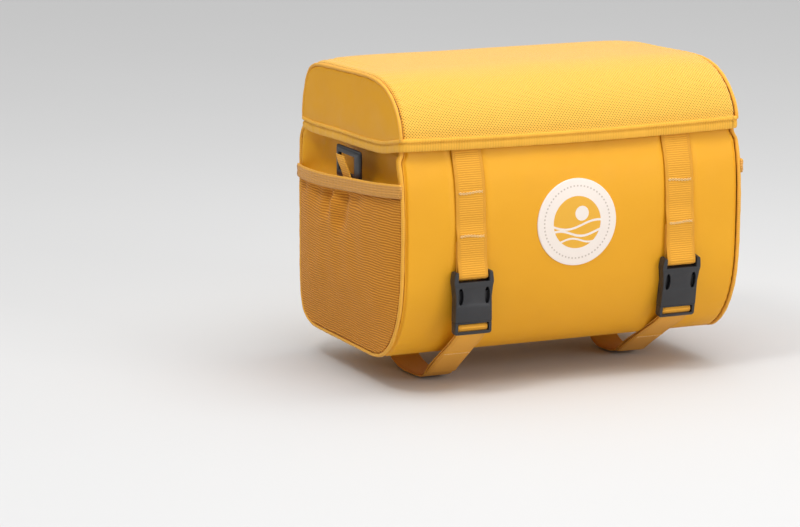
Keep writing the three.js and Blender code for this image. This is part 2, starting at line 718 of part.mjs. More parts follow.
// The buckle's upper half in its own frame: ears and bar, waisted body, prong windows and mouth
function buckleSocket() {
  const ear = BUCKLE_EAR_WIDTH / 2;
  const body = BUCKLE_BODY_WIDTH / 2;
  const waist = BUCKLE_WAIST_WIDTH / 2;
  const slot = BUCKLE_SLOT_WIDTH / 2;
  const depth = BUCKLE_THICKNESS / 2;
  const half = [
    [ear - BUCKLE_CORNER, HALF_BUCKLE],
    [ear, HALF_BUCKLE - BUCKLE_CORNER],
    [ear, HALF_BUCKLE - BUCKLE_EAR_HEIGHT],
    [body - 2 * GAP, HALF_BUCKLE - BUCKLE_NECK],
    [waist, (WINDOW_LOW + WINDOW_HIGH) / 2],
    [body, WINDOW_LOW - 4],
    [body, MOUTH_Z],
  ];
  const mirrored = half.map(([x, z]) => [-x, z]).reverse();
  let solid = plate([...mirrored, ...half], -depth, depth);
  solid = solid.subtract(block(-slot, slot, -depth - 1, depth + 1, BODY_TOP_Z, HALF_BUCKLE + 1));
  solid = solid.add(bar(ear - 1, BAR_THICKNESS, BAR_Z));
  const hollow = depth - BUCKLE_WALL;
  solid = solid.subtract(block(-slot, slot, -hollow, hollow, MOUTH_Z - 1, WINDOW_HIGH));
  for (const sign of [-1, 1]) {
    const [x0, x1] = [sign * (waist - 5), sign * (ear + 1)].sort((a, b) => a - b);
    solid = solid.subtract(block(x0, x1, -depth - 1, depth + 1, WINDOW_LOW, WINDOW_HIGH));
  }
  return fromManifold(solid);
}

// The buckle's lower half: side rails, foot bar, lock bar, shoulder and three prongs
function buckleLatch() {
  const body = BUCKLE_BODY_WIDTH / 2;
  const slot = BUCKLE_SLOT_WIDTH / 2;
  const depth = BUCKLE_THICKNESS / 2 - 0.4;
  const shoulder = MOUTH_Z - GAP;
  const outline = [
    [-body, shoulder], [-body, -HALF_BUCKLE + FOOT_CORNER], [-body + FOOT_CORNER, -HALF_BUCKLE],
    [body - FOOT_CORNER, -HALF_BUCKLE], [body, -HALF_BUCKLE + FOOT_CORNER], [body, shoulder],
  ];
  let solid = plate(outline, -depth, depth);
  solid = solid.subtract(block(-slot, slot, -depth - 1, depth + 1, -HALF_BUCKLE - 1, shoulder - SHOULDER));
  solid = solid.add(block(-body + 1, body - 1, -depth, -depth + 2, -HALF_BUCKLE, -HALF_BUCKLE + FOOT_BAR));
  solid = solid.add(bar(body - 1, LOCK_BAR, LOCK_BAR_Z));
  const thick = BUCKLE_THICKNESS / 2 - BUCKLE_WALL - 2 * GAP;
  const tip = WINDOW_HIGH - 2 * GAP;
  solid = solid.add(block(-KEY_WIDTH / 2, KEY_WIDTH / 2, -thick, thick, shoulder - 1, tip - PRONG_HOOK));
  for (const sign of [-1, 1]) {
    const hook = PRONG_OUT + PRONG_HOOK;
    const arm = [
      [PRONG_IN, shoulder - 1], [PRONG_OUT, shoulder - 1], [PRONG_OUT, WINDOW_LOW],
      [hook, WINDOW_LOW + 3 * GAP], [hook, tip - PRONG_HOOK], [PRONG_OUT, tip], [PRONG_IN + 1, tip],
    ];
    solid = solid.add(plate(arm.map(([x, z]) => [sign * x, z]), -thick, thick));
  }
  return fromManifold(solid);
}

// The badge lies on the front panel and follows its curve
function badge() {
  const sides = 28;
  const radius = BADGE_DIAMETER / 2;
  const ring = (reach, offset) => Array.from({ length: sides }, (_, j) => {
    const angle = (j / sides) * 2 * Math.PI;
    const row = frontRowAt(BADGE_HEIGHT + reach * Math.sin(angle));
    return bodyPoint(row, reach * Math.cos(angle), offset);
  });
  const top = GAP + BADGE_THICKNESS;
  return sweepSolid([
    ring(radius * 0.4, GAP), ring(radius * 0.75, GAP), ring(radius, GAP),
    ring(radius, top), ring(radius * 0.75, top), ring(radius * 0.4, top),
  ]);
}

// The frame on an end: a plate with one window, in Y and Z, lying on the side panel
function sideClip(sign) {
  const y0 = CLIP_Y - CLIP_LENGTH / 2;
  const y1 = y0 + CLIP_LENGTH;
  const z1 = CLIP_BOTTOM + CLIP_HEIGHT;
  const inner = Math.min(bodyHalfWidth(CLIP_BOTTOM), BODY_WIDTH / 2) + GAP;
  const outer = inner + CLIP_THICKNESS;
  const [x0, x1] = sign > 0 ? [inner, outer] : [-outer, -inner];
  const frame = block(x0, x1, y0, y1, CLIP_BOTTOM, z1);
  const hole = block(x0 - 1, x1 + 1, y0 + CLIP_FRONT_RAIL, y1 - CLIP_RAIL,
    CLIP_BOTTOM + CLIP_RAIL, z1 - CLIP_RAIL);
  return fromManifold(frame.subtract(hole));
}

// The webbing tab: behind the frame's top rail, out through its window and over its lower rail
function sideTab(sign) {
  const base = bodyHalfWidth(CLIP_BOTTOM) + GAP + WEBBING / 2;
  const front = base + CLIP_THICKNESS + GAP;
  const top = CLIP_BOTTOM + CLIP_HEIGHT - CLIP_RAIL;
  const lowY = CLIP_Y - CLIP_RAIL;
  const places = [
    { z: top - 2 * GAP, x: base },
    { z: top - 0.5 * CLIP_RAIL, x: base },
    { z: top - CLIP_RAIL, x: base + 0.5 * CLIP_THICKNESS },
    { z: CLIP_BOTTOM + 1.5 * CLIP_RAIL, x: front },
    { z: CLIP_BOTTOM - 3 * GAP, x: front },
    { z: CLIP_BOTTOM - CLIP_RAIL, x: base + 0.4 * CLIP_THICKNESS },
    { z: CLIP_BOTTOM - 2 * CLIP_RAIL, x: base },
    { z: CLIP_BOTTOM - TAB_TAIL, x: base },
  ];
  return sweepSolid(places.map(({ x, z }) => {
    const middle = lowY + TAB_LEAN * (z - CLIP_BOTTOM);
    const corner = (across, out) => new THREE.Vector3(
      sign * (x + out),
      middle + across,
      z,
    );
    const [wide, thick] = [TAB_WIDTH / 2, WEBBING / 2];
    return [corner(-wide, thick), corner(wide, thick), corner(wide, -thick), corner(-wide, -thick)];
  }));
}

// The finished model
const bag = new THREE.Group();

function add(name, geometry, material) {
  const mesh = new THREE.Mesh(geometry, material);
  mesh.name = name;
  bag.add(mesh);
  return mesh;
}

add('shell_panel', shellPanel(), COATED_CLOTH);
add('lid_panel', lidPanel(), LID_CLOTH);
add('lid_hem', lidHem(), BINDING);
add('badge', badge(), BADGE_CREAM);

for (const side of SIDES) {
  const { name, sign } = side;
  add(`${name}_side_panel`, sidePanel(sign), COATED_CLOTH);
  add(`${name}_seam_piping`, bead(bodyRows, bodyHalfWidth, sign), BINDING);
  add(`${name}_pocket`, pocket(sign), POCKET_KNIT);
  add(`${name}_pocket_hem`, pocketHem(sign), BINDING);
  add(`${name}_lid_gusset`, lidGusset(sign), COATED_CLOTH);
  add(`${name}_lid_piping`, bead(lidRows, lidHalfWidth, sign), BINDING);
  add(`${name}_strap`, upperStrap(side), WEBBING_YELLOW);
  add(`${name}_lower_strap`, lowerStrap(side), WEBBING_YELLOW);
  add(`${name}_side_clip`, sideClip(sign), BLACK_ACETAL);
  add(`${name}_side_tab`, sideTab(sign), WEBBING_YELLOW);
  const frame = buckleFrame(side);
  for (const [part, geometry] of [['socket', buckleSocket()], ['latch', buckleLatch()]]) {
    const half = add(`${name}_buckle_${part}`, geometry, BLACK_ACETAL);
    half.position.set(sign * STRAP_X, frame.y, frame.z);
    half.rotation.x = frame.tilt;
  }
}

export default bag;
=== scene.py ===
import math
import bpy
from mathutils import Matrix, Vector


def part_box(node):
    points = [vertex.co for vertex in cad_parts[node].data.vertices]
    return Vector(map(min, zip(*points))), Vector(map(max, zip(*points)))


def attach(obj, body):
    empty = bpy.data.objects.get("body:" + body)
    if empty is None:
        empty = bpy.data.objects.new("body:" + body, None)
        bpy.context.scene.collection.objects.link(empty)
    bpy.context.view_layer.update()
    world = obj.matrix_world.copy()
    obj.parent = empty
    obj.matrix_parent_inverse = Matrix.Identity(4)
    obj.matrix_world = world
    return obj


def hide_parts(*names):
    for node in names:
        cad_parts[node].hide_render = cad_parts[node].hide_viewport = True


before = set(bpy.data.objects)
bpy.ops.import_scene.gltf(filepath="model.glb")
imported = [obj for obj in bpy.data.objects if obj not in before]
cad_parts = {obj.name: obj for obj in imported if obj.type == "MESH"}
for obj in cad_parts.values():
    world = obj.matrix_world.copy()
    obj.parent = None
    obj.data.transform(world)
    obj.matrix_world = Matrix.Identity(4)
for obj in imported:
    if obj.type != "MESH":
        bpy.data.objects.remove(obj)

from types import SimpleNamespace

import bmesh
import bpy
import numpy as np
from bpy.props import FloatProperty, FloatVectorProperty, PointerProperty
from mathutils import Vector

bl_info = {
    "name": "Box bag of coated cloth",
    "version": (1, 0, 0),
    "blender": (4, 5, 0),
    "location": "View3D > Sidebar > Bag",
    "description": "Sews a bag with a padded lid, stretch pockets and buckled straps round its solid model",
    "category": "Add Mesh",
}

MM = 0.001
LEFT, RIGHT = "left", "right"
SIGNS = {LEFT: -1, RIGHT: 1}
GREY_OF_RING = "#C9B9AC"


def linear(hex_colour):
    """Linear red, green and blue of an sRGB hex colour."""
    shares = [int(hex_colour[i:i + 2], 16) / 255 for i in (1, 3, 5)]
    return [s / 12.92 if s <= 0.04045 else ((s + 0.055) / 1.055) ** 2.4 for s in shares]


# Body and lid, in millimetres, where they do not change with the bag's own sizes
FRONT_BULGE = 3.0
SIDE_TUCK = 2.7
RIM_TUCK = 1.5
SEAM_INSET = 3.3
SEAM_CORD, LID_CORD = 1.6, 1.5
CORD_SUNK = 1.1
CURL = 2.4
END_HOLLOW = 13.0
BOTTOM_ROWS = 20
LID_CROWN = 4.4
LID_LEAN = 1.5
LID_ROLL = 2.8
LID_CORNER = 5.0
LID_HEM_HEIGHT = 7.0
LID_HEM_THICKNESS = 3.2
LID_HEM_SAG = 2.0
LID_HEM_RISE = 1.3
LID_FOLD_HEIGHT = 3.4
LID_FOLD_OUT = 0.7

# Pockets, frames and badge, in millimetres or as a share of the height
POCKET_HEM_HEIGHT = 11.5
KNIT_THICKNESS = 1.2
DENT = 3.8
ELASTIC_THICKNESS = 2.6
# ELASTIC_EDGE: height on the elastic above which its rolled top is painted as a highlight
ELASTIC_EDGE = 10.3
FRAME_TUCK = 2.0
TAB_WIDTH = 17.0
BADGE_MIDDLE = 0.581

# Buckles and straps, in millimetres: the buckle's own frame has its middle at 0 and Z up
BUCKLE_LENGTH = 52.0
BUCKLE_THICKNESS = 8.4
BUCKLE_EAR = 33.4
BUCKLE_BODY = 32.0
BUCKLE_WAIST = 30.4
BUCKLE_SLOT = 27.4
BUCKLE_MOUTH = -15.0
BUCKLE_WALL = 1.5
WINDOW_X, WINDOW_Z, WINDOW_RADIUS, WINDOW_STRETCH = 11.7, 6.2, 2.4, 2.9
PRONG, PRESS = (8, 11.6), (11.3, 15.0)
SHOULDER = 1.1
FOOT_BAR = 3.2
BAR = 3.0
LOCK_BAR = 2.4
BAR_Z = BUCKLE_LENGTH / 2 - BAR / 2 - 2
LOCK_BAR_Z = BUCKLE_MOUTH - 4.6
THROUGH = 9
CLEAR = 0.3
TAIL_FOLD = 40.0
STITCH_LENGTH = 2.1
RETURN_Y, LOWEST_Z = 34.0, -24.0

# The body's side outline: y as a share of half its depth, z of its height, share of the bulge
BODY_FRONT = [
    (-0.893, 1.0, 0.2), (-0.9, 0.926, 0.3), (-0.93, 0.868, 0.5), (-0.962, 0.805, 0.7),
    (-0.983, 0.7, 0.92), (-0.988, 0.6, 1.0), (-0.984, 0.5, 1.0), (-0.976, 0.4, 0.92),
    (-0.957, 0.31, 0.8), (-0.914, 0.22, 0.6), (-0.842, 0.14, 0.42), (-0.738, 0.07, 0.25),
    (-0.603, 0.02, 0.1), (-0.437, 0.0, 0.0),
]
BODY_BACK = [
    (0.609, 0.0, 0.0), (0.79, 0.008, 0.0), (0.915, 0.042, 0.05), (0.978, 0.108, 0.12),
    (0.999, 0.215, 0.25), (1.0, 0.45, 0.4), (0.998, 0.65, 0.35), (0.99, 0.78, 0.2),
    (0.98, 0.845, 0.1), (0.93, 0.89, 0.05), (0.902, 0.93, 0.05), (0.888, 1.0, 0.0),
]

# The lid's side outline: y as a share of half the body's depth, z of the lid's height, crown
LID_OUTLINE = [
    (-0.94, 0.805, 0.36), (-0.933, 0.83, 0.36), (-0.911, 0.86, 0.42), (-0.87, 0.892, 0.5),
    (-0.808, 0.925, 0.56), (-0.722, 0.955, 0.6), (-0.616, 0.979, 0.6), (-0.493, 0.993, 0.6),
    (-0.353, 1.0, 0.6), (-0.139, 1.0, 0.6), (0.213, 0.994, 0.75), (0.491, 0.989, 0.95),
    (0.64, 0.985, 1.0), (0.752, 0.977, 0.95), (0.835, 0.958, 0.8), (0.887, 0.928, 0.55),
    (0.92, 0.88, 0.3), (0.945, 0.825, 0.1), (0.957, 0.762, 0.0),
]

# Lower edge of the lid's hem and upper edge of the pockets, in the same shares
LID_HEM_LINE = [
    (-1.0, 0.769), (-0.872, 0.761), (-0.622, 0.744), (-0.27, 0.735), (0.224, 0.731),
    (0.738, 0.724), (1.0, 0.729),
]
POCKET_LINE = [
    (-1.0, 0.797), (-0.68, 0.781), (-0.21, 0.76), (0.26, 0.737), (1.0, 0.716),
]

# Gathers under the pocket's hem: place across, width and drop as shares, puff of the bulge
POCKET_GATHERS = [(0.15, 0.07, 0.1, -0.1), (0.36, 0.06, 0.12, -0.22), (0.485, 0.045, 0.24, -0.5),
                  (0.571, 0.035, 0.34, 0.36), (0.655, 0.045, 0.24, -0.5), (0.6, 0.15, 0.09, -0.3),
                  (0.77, 0.06, 0.17, -0.3), (0.93, 0.04, 0.1, -0.25)]

# What differs between the sides: the buckle's tilt in degrees, the heights of the tacks as shares,
# the length of the free tail, and where the lower strap turns under, as a share of the depth
TILTS = {LEFT: 1, RIGHT: 10}
TACKS = {LEFT: (0.742, 0.562), RIGHT: (0.73, 0.545)}
TAILS = {LEFT: 72.0, RIGHT: 88.0}
EYES = {LEFT: -0.19, RIGHT: -0.09}

# The stage, in metres, degrees and watts: each lamp has its place, aim, width and power
FLOOR_Z = -0.0262
LAMPS = {
    "top_softbox": ((0.2, -0.35, 1.5), (0, 0, 0.12), 1.3, 12),
    "front_softbox": ((1.0, -2.1, 0.75), (0, 0, 0.08), 1.0, 15.5),
    "left_softbox": ((-1.15, -0.55, 2.05), (0, 0, 0.15), 0.5, 12),
}
CAMERA_PLACE = (-1.2932, -2.6706, 0.6486)
CAMERA_TURN, CAMERA_RISE, CAMERA_LENS = 23.93, 11.30, 161.7


def length_property(name, description, metres):
    return FloatProperty(name=name, description=description, default=metres, unit="LENGTH")


class BagSizes(bpy.types.PropertyGroup):
    body_width: length_property("Body width", "Outside width of the body", 0.307)
    body_depth: length_property("Body depth", "Depth from front to back", 0.216)
    body_height: length_property("Body height", "Height from the bottom to the rim", 0.190)
    lid_rise: length_property("Lid rise", "Height of the lid over the rim", 0.039)
    lid_narrower: length_property("Lid narrower", "How far each end of the lid stays short", 0.00065)
    cloth: length_property("Cloth", "Thickness of the coated cloth", 0.0012)
    padding: length_property("Padding", "Thickness of the lid's padded cloth", 0.0026)
    strap_width: length_property("Strap width", "Width of the webbing", 0.026)
    strap_place: length_property("Strap place", "From the middle to each strap", 0.0945)
    webbing: length_property("Webbing", "Thickness of the webbing", 0.0015)
    pocket_bulge: length_property("Pocket bulge", "How far a pocket stands off", 0.009)
    badge: length_property("Badge", "Diameter of the round badge", 0.071)


def colour_property(name, description, hex_colour):
    return FloatVectorProperty(name=name, description=description, subtype="COLOR", size=3,
                               min=0.0, max=1.0, default=linear(hex_colour))


class BagColours(bpy.types.PropertyGroup):
    cloth: colour_property("Cloth", "Coated cloth of the body", "#EDAA1C")
    cloth_shade: colour_property("Cloth shade", "Coated cloth in its duller patches", "#E49F16")
    lid: colour_property("Lid", "Raised threads of the lid's weave", "#F5BE4C")
    lid_pit: colour_property("Lid pits", "Pits between the threads of the lid's weave", "#9E5E08")
    knit: colour_property("Knit", "Raised ribs of the pocket's knit", "#EDA234")
    knit_pit: colour_property("Knit pits", "Grooves of the pocket's knit", "#B46A12")
    webbing: colour_property("Webbing", "Raised ribs of the webbing", "#EEAC34")
    webbing_pit: colour_property("Webbing pits", "Grooves of the webbing", "#D8942A")
    binding: colour_property("Binding", "Ribbed binding tape", "#F0B23C")
    piping: colour_property("Piping", "Light cloth round the cords", "#F0AF3E")
    elastic: colour_property("Elastic", "Folded elastic hem of the pockets", "#E0A04C")
    acetal: colour_property("Acetal", "Moulded buckles and frames", "#2E2E31")
    thread: colour_property("Thread", "Pale thread of the tacks", "#FFD890")
    badge: colour_property("Badge", "Ground of the badge", "#F0E4DA")
    print: colour_property("Print", "Motif on the badge", "#E8AC2C")
    floor: colour_property("Floor", "Pale floor", "#CFCFCF")


def size(name):
    """One of the bag's sizes, in millimetres."""
    return getattr(bpy.context.scene.bag_sizes, name) / MM


def colour(name, share=1.0):
    """One of the bag's colours, or a darker share of it."""
    return (*(share * part for part in getattr(bpy.context.scene.bag_colours, name)), 1.0)


def lid_top():
    return size("body_height") + size("lid_rise")


def lid_half():
    """Half of the lid's width."""
    return size("body_width") / 2 - size("lid_narrower")


# Curves and surfaces

def smooth_rows(table, scale, spacing):
    """Evenly spaced points of a centripetal curve through a table's rows, scaled."""
    points = np.array(table, float) * scale
    line = np.vstack([2 * points[0] - points[1], points, 2 * points[-1] - points[-2]])
    knots = np.append(0, np.cumsum(np.sqrt(np.linalg.norm(np.diff(line, axis=0), axis=1))))
    found = []
    for i in range(1, len(points)):
        p, k = line[i - 1:i + 3], knots[i - 1:i + 3]
        t = np.linspace(k[1], k[2], 16, endpoint=False)[:, None]
        outer = [between(p[j], p[j + 1], t, k[j], k[j + 1]) for j in range(3)]
        inner = [between(outer[j], outer[j + 1], t, k[j], k[j + 2]) for j in range(2)]
        found.append(between(*inner, t, k[1], k[2]))
    found.append(points[-1:])
    return respaced(np.vstack(found), spacing)


def between(a, b, t, start, end):
    return a * (end - t) / (end - start) + b * (t - start) / (end - start)


def respaced(points, spacing):
    """The points of a line, spaced evenly along it."""
    lengths = np.append(0, np.cumsum(np.linalg.norm(np.diff(points, axis=0), axis=1)))
    count = max(2, round(lengths[-1] / spacing))
    places = np.linspace(0, lengths[-1], count + 1)
    return np.stack([np.interp(places, lengths, column) for column in points.T], axis=1)


def travelled(y, z):
    """The length of a line so far, at each of its points."""
    return np.append(0, np.cumsum(np.hypot(np.diff(y), np.diff(z))))


def right_of(y, z):
    """The direction to the right of a line's travel, at each of its points."""
    dy, dz = np.gradient(y), np.gradient(z)
    length = np.hypot(dy, dz)
    return dz / length, -dy / length


def outline(rows, turn):
    """An outline in y and z with its outward direction, to the right of its travel for turn 1."""
    y, z, bulge = rows.T
    ny, nz = right_of(y, z)
    return SimpleNamespace(y=y, z=z, bulge=bulge, along=travelled(y, z), ny=turn * ny, nz=turn * nz)


def inset(line, distance):
    """y and z of an outline drawn in by a distance."""
    return np.stack([line.y - line.ny * distance, line.z - line.nz * distance], axis=1)


def body_rows(table, spacing):
    return smooth_rows(table, (size("body_depth") / 2, size("body_height"), 1), spacing)


def body_front():
    return outline(body_rows(BODY_FRONT, 2.4), 1)


def body_outline():
    """From the rim down the front, along the bottom and up the back to the rim."""
    front, back = body_rows(BODY_FRONT, 2.4), body_rows(BODY_BACK, 3.2)
    flat = np.linspace(front[-1], back[0], 30)[1:-1]
    return outline(np.vstack([front, flat, back]), 1)


def lid_outline():
    return outline(smooth_rows(LID_OUTLINE, (size("body_depth") / 2, lid_top(), 1), 2.2), -1)


def level_line(table, height):
    """A line of heights over y, as a function."""
    rows = smooth_rows(table, (size("body_depth") / 2, height), 4.0)
    order = np.argsort(rows[:, 0])
    return lambda y: np.interp(y, rows[order, 0], rows[order, 1])


def columns(*values):
    """Each value as a column, which spreads over a grid."""
    return [value[:, None] for value in values]


def grid(*parts):
    """Parts of one shape, or that spread to it, put side by side along a last axis."""
    return np.stack(np.broadcast_arrays(*parts), -1)


def ring(count):
    return np.linspace(0, math.tau, count, endpoint=False)


def squared(wave, power):
    """A sine or cosine that is drawn out toward a square wave by a power under 1."""
    return np.sign(wave) * np.abs(wave) ** power


def ease(value, start, end):
    t = np.clip((value - start) / (end - start), 0, 1)
    return t * t * (3 - 2 * t)


def hump(value, centre, width):
    return np.exp(-(((value - centre) / width) ** 2))


def body_half_width(z):
    share = z / size("body_height")
    return size("body_width") / 2 - SIDE_TUCK * ease(share, 0.88, 0.915) - RIM_TUCK * ease(share, 0.9, 1)


def lid_half_width(z):
    return lid_half() - LID_LEAN * ease(z / lid_top(), 0.8, 1)


def seam_columns(half, spacing):
    """Places across a panel, from -half to half, close together near its seams."""
    edge = np.array([0, 0.25, 0.6, 1.0, 1.5, 2.1, 2.8, 3.6, 4.6, 6.0, 8.0])
    middle = np.linspace(-half + 10.5, half - 10.5, max(3, round((2 * half - 21) / spacing)))
    return np.concatenate([-half + edge, middle, half - edge[::-1]])


def curl(distance, radius):
    """How far a sheet's edge turns in at a seam, at a distance from it."""
    near = np.clip(distance, 0, radius)
    return np.sqrt(np.maximum(0, radius ** 2 - (radius - near) ** 2)) - radius


def waves(u, v, length, seed):
    """Slow irregular waves of about one unit, from a fixed set of directions."""
    steady = np.random.default_rng(seed)
    total = 0
    for _ in range(9):
        angle = steady.uniform(0, math.tau)
        wave = length * steady.uniform(0.6, 1.9)
        phase = steady.uniform(0, math.tau)
        total = total + np.sin(math.tau * (u * math.cos(angle) + v * math.sin(angle)) / wave + phase)
    return total / 3


def puckers(along, distance, pitch, reach, seed):
    """Small irregular gathers that run out from a seam and fade with the distance from it."""
    bend = 0.9 * np.sin(along / (2.3 * pitch) + seed) + 0.6 * np.sin(along / (4.1 * pitch) + 2 * seed)
    strength = 0.6 + 0.4 * np.sin(along / (5.7 * pitch) + 3 * seed)
    return strength * np.sin(math.tau * along / pitch + bend) * np.exp(-distance / reach)


def distance_to(points, line):
    """Distance in a plane from each point of a grid to the nearest point of a line."""
    gaps = points[..., None, :] - line
    return np.sqrt((gaps ** 2).sum(-1)).min(-1)


def grid_normals(points):
    rows, columns = np.gradient(points, axis=0), np.gradient(points, axis=1)
    normals = np.cross(rows, columns)
    return normals / np.maximum(1e-9, np.linalg.norm(normals, axis=-1, keepdims=True))


# Meshes

def select_only(piece):
    bpy.ops.object.select_all(action="DESELECT")
    piece.select_set(True)
    bpy.context.view_layer.objects.active = piece


def apply_modifier(piece, kind, **settings):
    modifier = piece.modifiers.new(kind.title(), kind)
    for name, value in settings.items():
        setattr(modifier, name, value)
    select_only(piece)
    bpy.ops.object.modifier_apply(modifier=modifier.name)


def settled(piece, name):
    """A piece with its place and turn put into its mesh, and its name."""
    select_only(piece)
    bpy.ops.object.transform_apply(location=True, rotation=True, scale=True)
    piece.name = name
    return piece


def link_mesh(name, vertices, faces, uv=None, closed=True):
    """A smooth piece from vertices in millimetres, faces and a place on the cloth per vertex."""
    mesh = bpy.data.meshes.new(name)
    mesh.from_pydata((vertices.reshape(-1, 3) * MM).tolist(), [], faces)
    if uv is not None:
        layer = mesh.uv_layers.new(name="Cloth")
        index = np.empty(len(mesh.loops), int)
        mesh.loops.foreach_get("vertex_index", index)
        layer.data.foreach_set("uv", (uv.reshape(-1, 2)[index] * MM).ravel())
    if closed:
        shape = bmesh.new()
        shape.from_mesh(mesh)
        bmesh.ops.recalc_face_normals(shape, faces=shape.faces)
        shape.to_mesh(mesh)
        shape.free()
    mesh.shade_smooth()
    piece = bpy.data.objects.new(name, mesh)
    bpy.context.scene.collection.objects.link(piece)
    return piece


def grid_faces(rows, columns, round_rows=False, round_columns=False):
    i = np.arange(rows if round_rows else rows - 1)
    j = np.arange(columns if round_columns else columns - 1)
    i, j = [axis.ravel() for axis in np.meshgrid(i, j, indexing="ij")]
    i2, j2 = (i + 1) % rows, (j + 1) % columns
    return np.stack([i * columns + j, i2 * columns + j, i2 * columns + j2, i * columns + j2], axis=1)


def cloth_sheet(name, points, uv, facing, thickness):
    """A sheet through a grid of points, facing a direction, with its thickness behind it."""
    rows, columns = points.shape[:2]
    faces = grid_faces(rows, columns)
    middle = grid_normals(points)[rows // 2, columns // 2]
    if np.dot(middle, facing) < 0:
        faces = faces[:, ::-1]
    piece = link_mesh(name, points, faces.tolist(), uv, closed=False)
    apply_modifier(piece, "SOLIDIFY", thickness=thickness * MM, offset=-1)
    return piece


def swept(name, loops, uv, closed=False):
    """A closed skin through matching loops of points, capped at its ends unless closed."""
    rows, columns = loops.shape[:2]
    faces = grid_faces(rows, columns, closed, True).tolist()
    if not closed:
        faces.append(list(range(columns)))
        faces.append(list(range(rows * columns - 1, (rows - 1) * columns - 1, -1)))
    return link_mesh(name, loops, faces, uv)


def finish_piece(piece, finish, slot, *nodes):
    piece.data.materials.clear()
    piece.data.materials.append(material(finish))
    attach(piece, "root")
    if nodes:
        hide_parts(*nodes)


# Materials

def add_node(tree, kind, links=None, **settings):
    """A node with its settings and with values or other nodes' sockets on its inputs."""
    node = tree.nodes.new(kind)
    for name, value in settings.items():
        setattr(node, name, value)
    for name, value in (links or {}).items():
        if isinstance(value, bpy.types.NodeSocket):
            tree.links.new(value, node.inputs[name])
        else:
            node.inputs[name].default_value = value
    return node


def maths(tree, operation, *values):
    return add_node(tree, "ShaderNodeMath", dict(enumerate(values)), operation=operation).outputs[0]


def cloth_place(tree):
    """Across and along the cloth, in metres, from the piece's own UV map."""
    uv = add_node(tree, "ShaderNodeUVMap", uv_map="Cloth").outputs["UV"]
    parts = add_node(tree, "ShaderNodeSeparateXYZ", {"Vector": uv})
    return uv, parts.outputs["X"], parts.outputs["Y"]


def ribs(tree, place, pitch):
    """Even ribs from 0 to 1 along a place, a pitch in millimetres apart."""
    turn = maths(tree, "MULTIPLY", place, math.tau / (pitch * MM))
    return maths(tree, "MULTIPLY_ADD", maths(tree, "SINE", turn), 0.5, 0.5)


def noise(tree, vector, length, detail=2.0, roughness=0.5):
    """Noise from 0 to 1 with features of a length in millimetres."""
    links = {"Vector": vector, "Scale": 1 / (length * MM), "Detail": detail, "Roughness": roughness}
    return add_node(tree, "ShaderNodeTexNoise", links).outputs["Fac"]


def blend_colours(tree, share, first, second):
    """A blend of two colours, where each is the name of one or a colour itself."""
    tones = [colour(tone) if isinstance(tone, str) else tone for tone in (first, second)]
    return add_node(tree, "ShaderNodeMix", {0: share, 6: tones[0], 7: tones[1]}, data_type="RGBA").outputs[2]


def coated_polyester(tree):
    """Coated polyester: a plain weave under a smooth skin, so it is even with a soft gloss."""
    uv, u, v = cloth_place(tree)
    # The 0.5 mm weave is drawn at 1.1 mm, because a finer one is lost in the render
    weave = maths(tree, "MULTIPLY", ribs(tree, u, 1.1), ribs(tree, v, 1.1))
    base = blend_colours(tree, noise(tree, uv, 70, 3), "cloth_shade", "cloth")
    height = maths(tree, "MULTIPLY_ADD", weave, 0.5, noise(tree, uv, 6))
    rough = maths(tree, "MULTIPLY_ADD", noise(tree, uv, 12), 0.16, 0.42)
    return base, height, 0.06, rough


def dotted_weave(tree):
    """Basket weave over foam: a lattice of pits between raised threads, with a dry sheen."""
    uv, u, v = cloth_place(tree)
    # The pits lie 1.75 mm apart along both diagonals
    step = math.pi * math.sqrt(2) / (1.75 * MM)
    across, along = [maths(tree, "COSINE", maths(tree, "MULTIPLY", way, step)) for way in (u, v)]
    pits = {0: maths(tree, "MULTIPLY", across, along), 1: 0.22, 2: 0.85}
    pit = add_node(tree, "ShaderNodeMapRange", pits, interpolation_type="SMOOTHSTEP").outputs[0]
    base = blend_colours(tree, pit, "lid", "lid_pit")
    height = maths(tree, "MULTIPLY_ADD", noise(tree, uv, 1.2), 0.25, maths(tree, "SUBTRACT", 1.0, pit))
    return base, height, 0.3


def ribbed_knit(tree):
    """Stretch knit: level ribs with fine loops across them, dull, and darker in the grooves."""
    uv, u, v = cloth_place(tree)
    rib = ribs(tree, maths(tree, "MULTIPLY_ADD", noise(tree, uv, 30), 0.004, v), 2.1)
    crown = maths(tree, "MULTIPLY_ADD", ribs(tree, u, 1.2), 0.18, maths(tree, "MULTIPLY", rib, 0.82))
    return blend_colours(tree, crown, "knit_pit", "knit"), crown, 0.45


def polyester_webbing(tree):
    """Woven polyester webbing: ribs across it, with a finer selvedge along both edges."""
    uv, u, v = cloth_place(tree)
    rib = ribs(tree, maths(tree, "MULTIPLY_ADD", noise(tree, uv, 9), 0.0006, v), 1.8)
    fine = maths(tree, "MULTIPLY", ribs(tree, v, 1.1), ribs(tree, u, 1.0))
    edge = maths(tree, "GREATER_THAN", maths(tree, "ABSOLUTE", u), 0.0102)
    crown = add_node(tree, "ShaderNodeMix", {0: edge, 2: rib, 3: fine}).outputs[0]
    return blend_colours(tree, crown, "webbing_pit", "webbing"), crown, 0.2


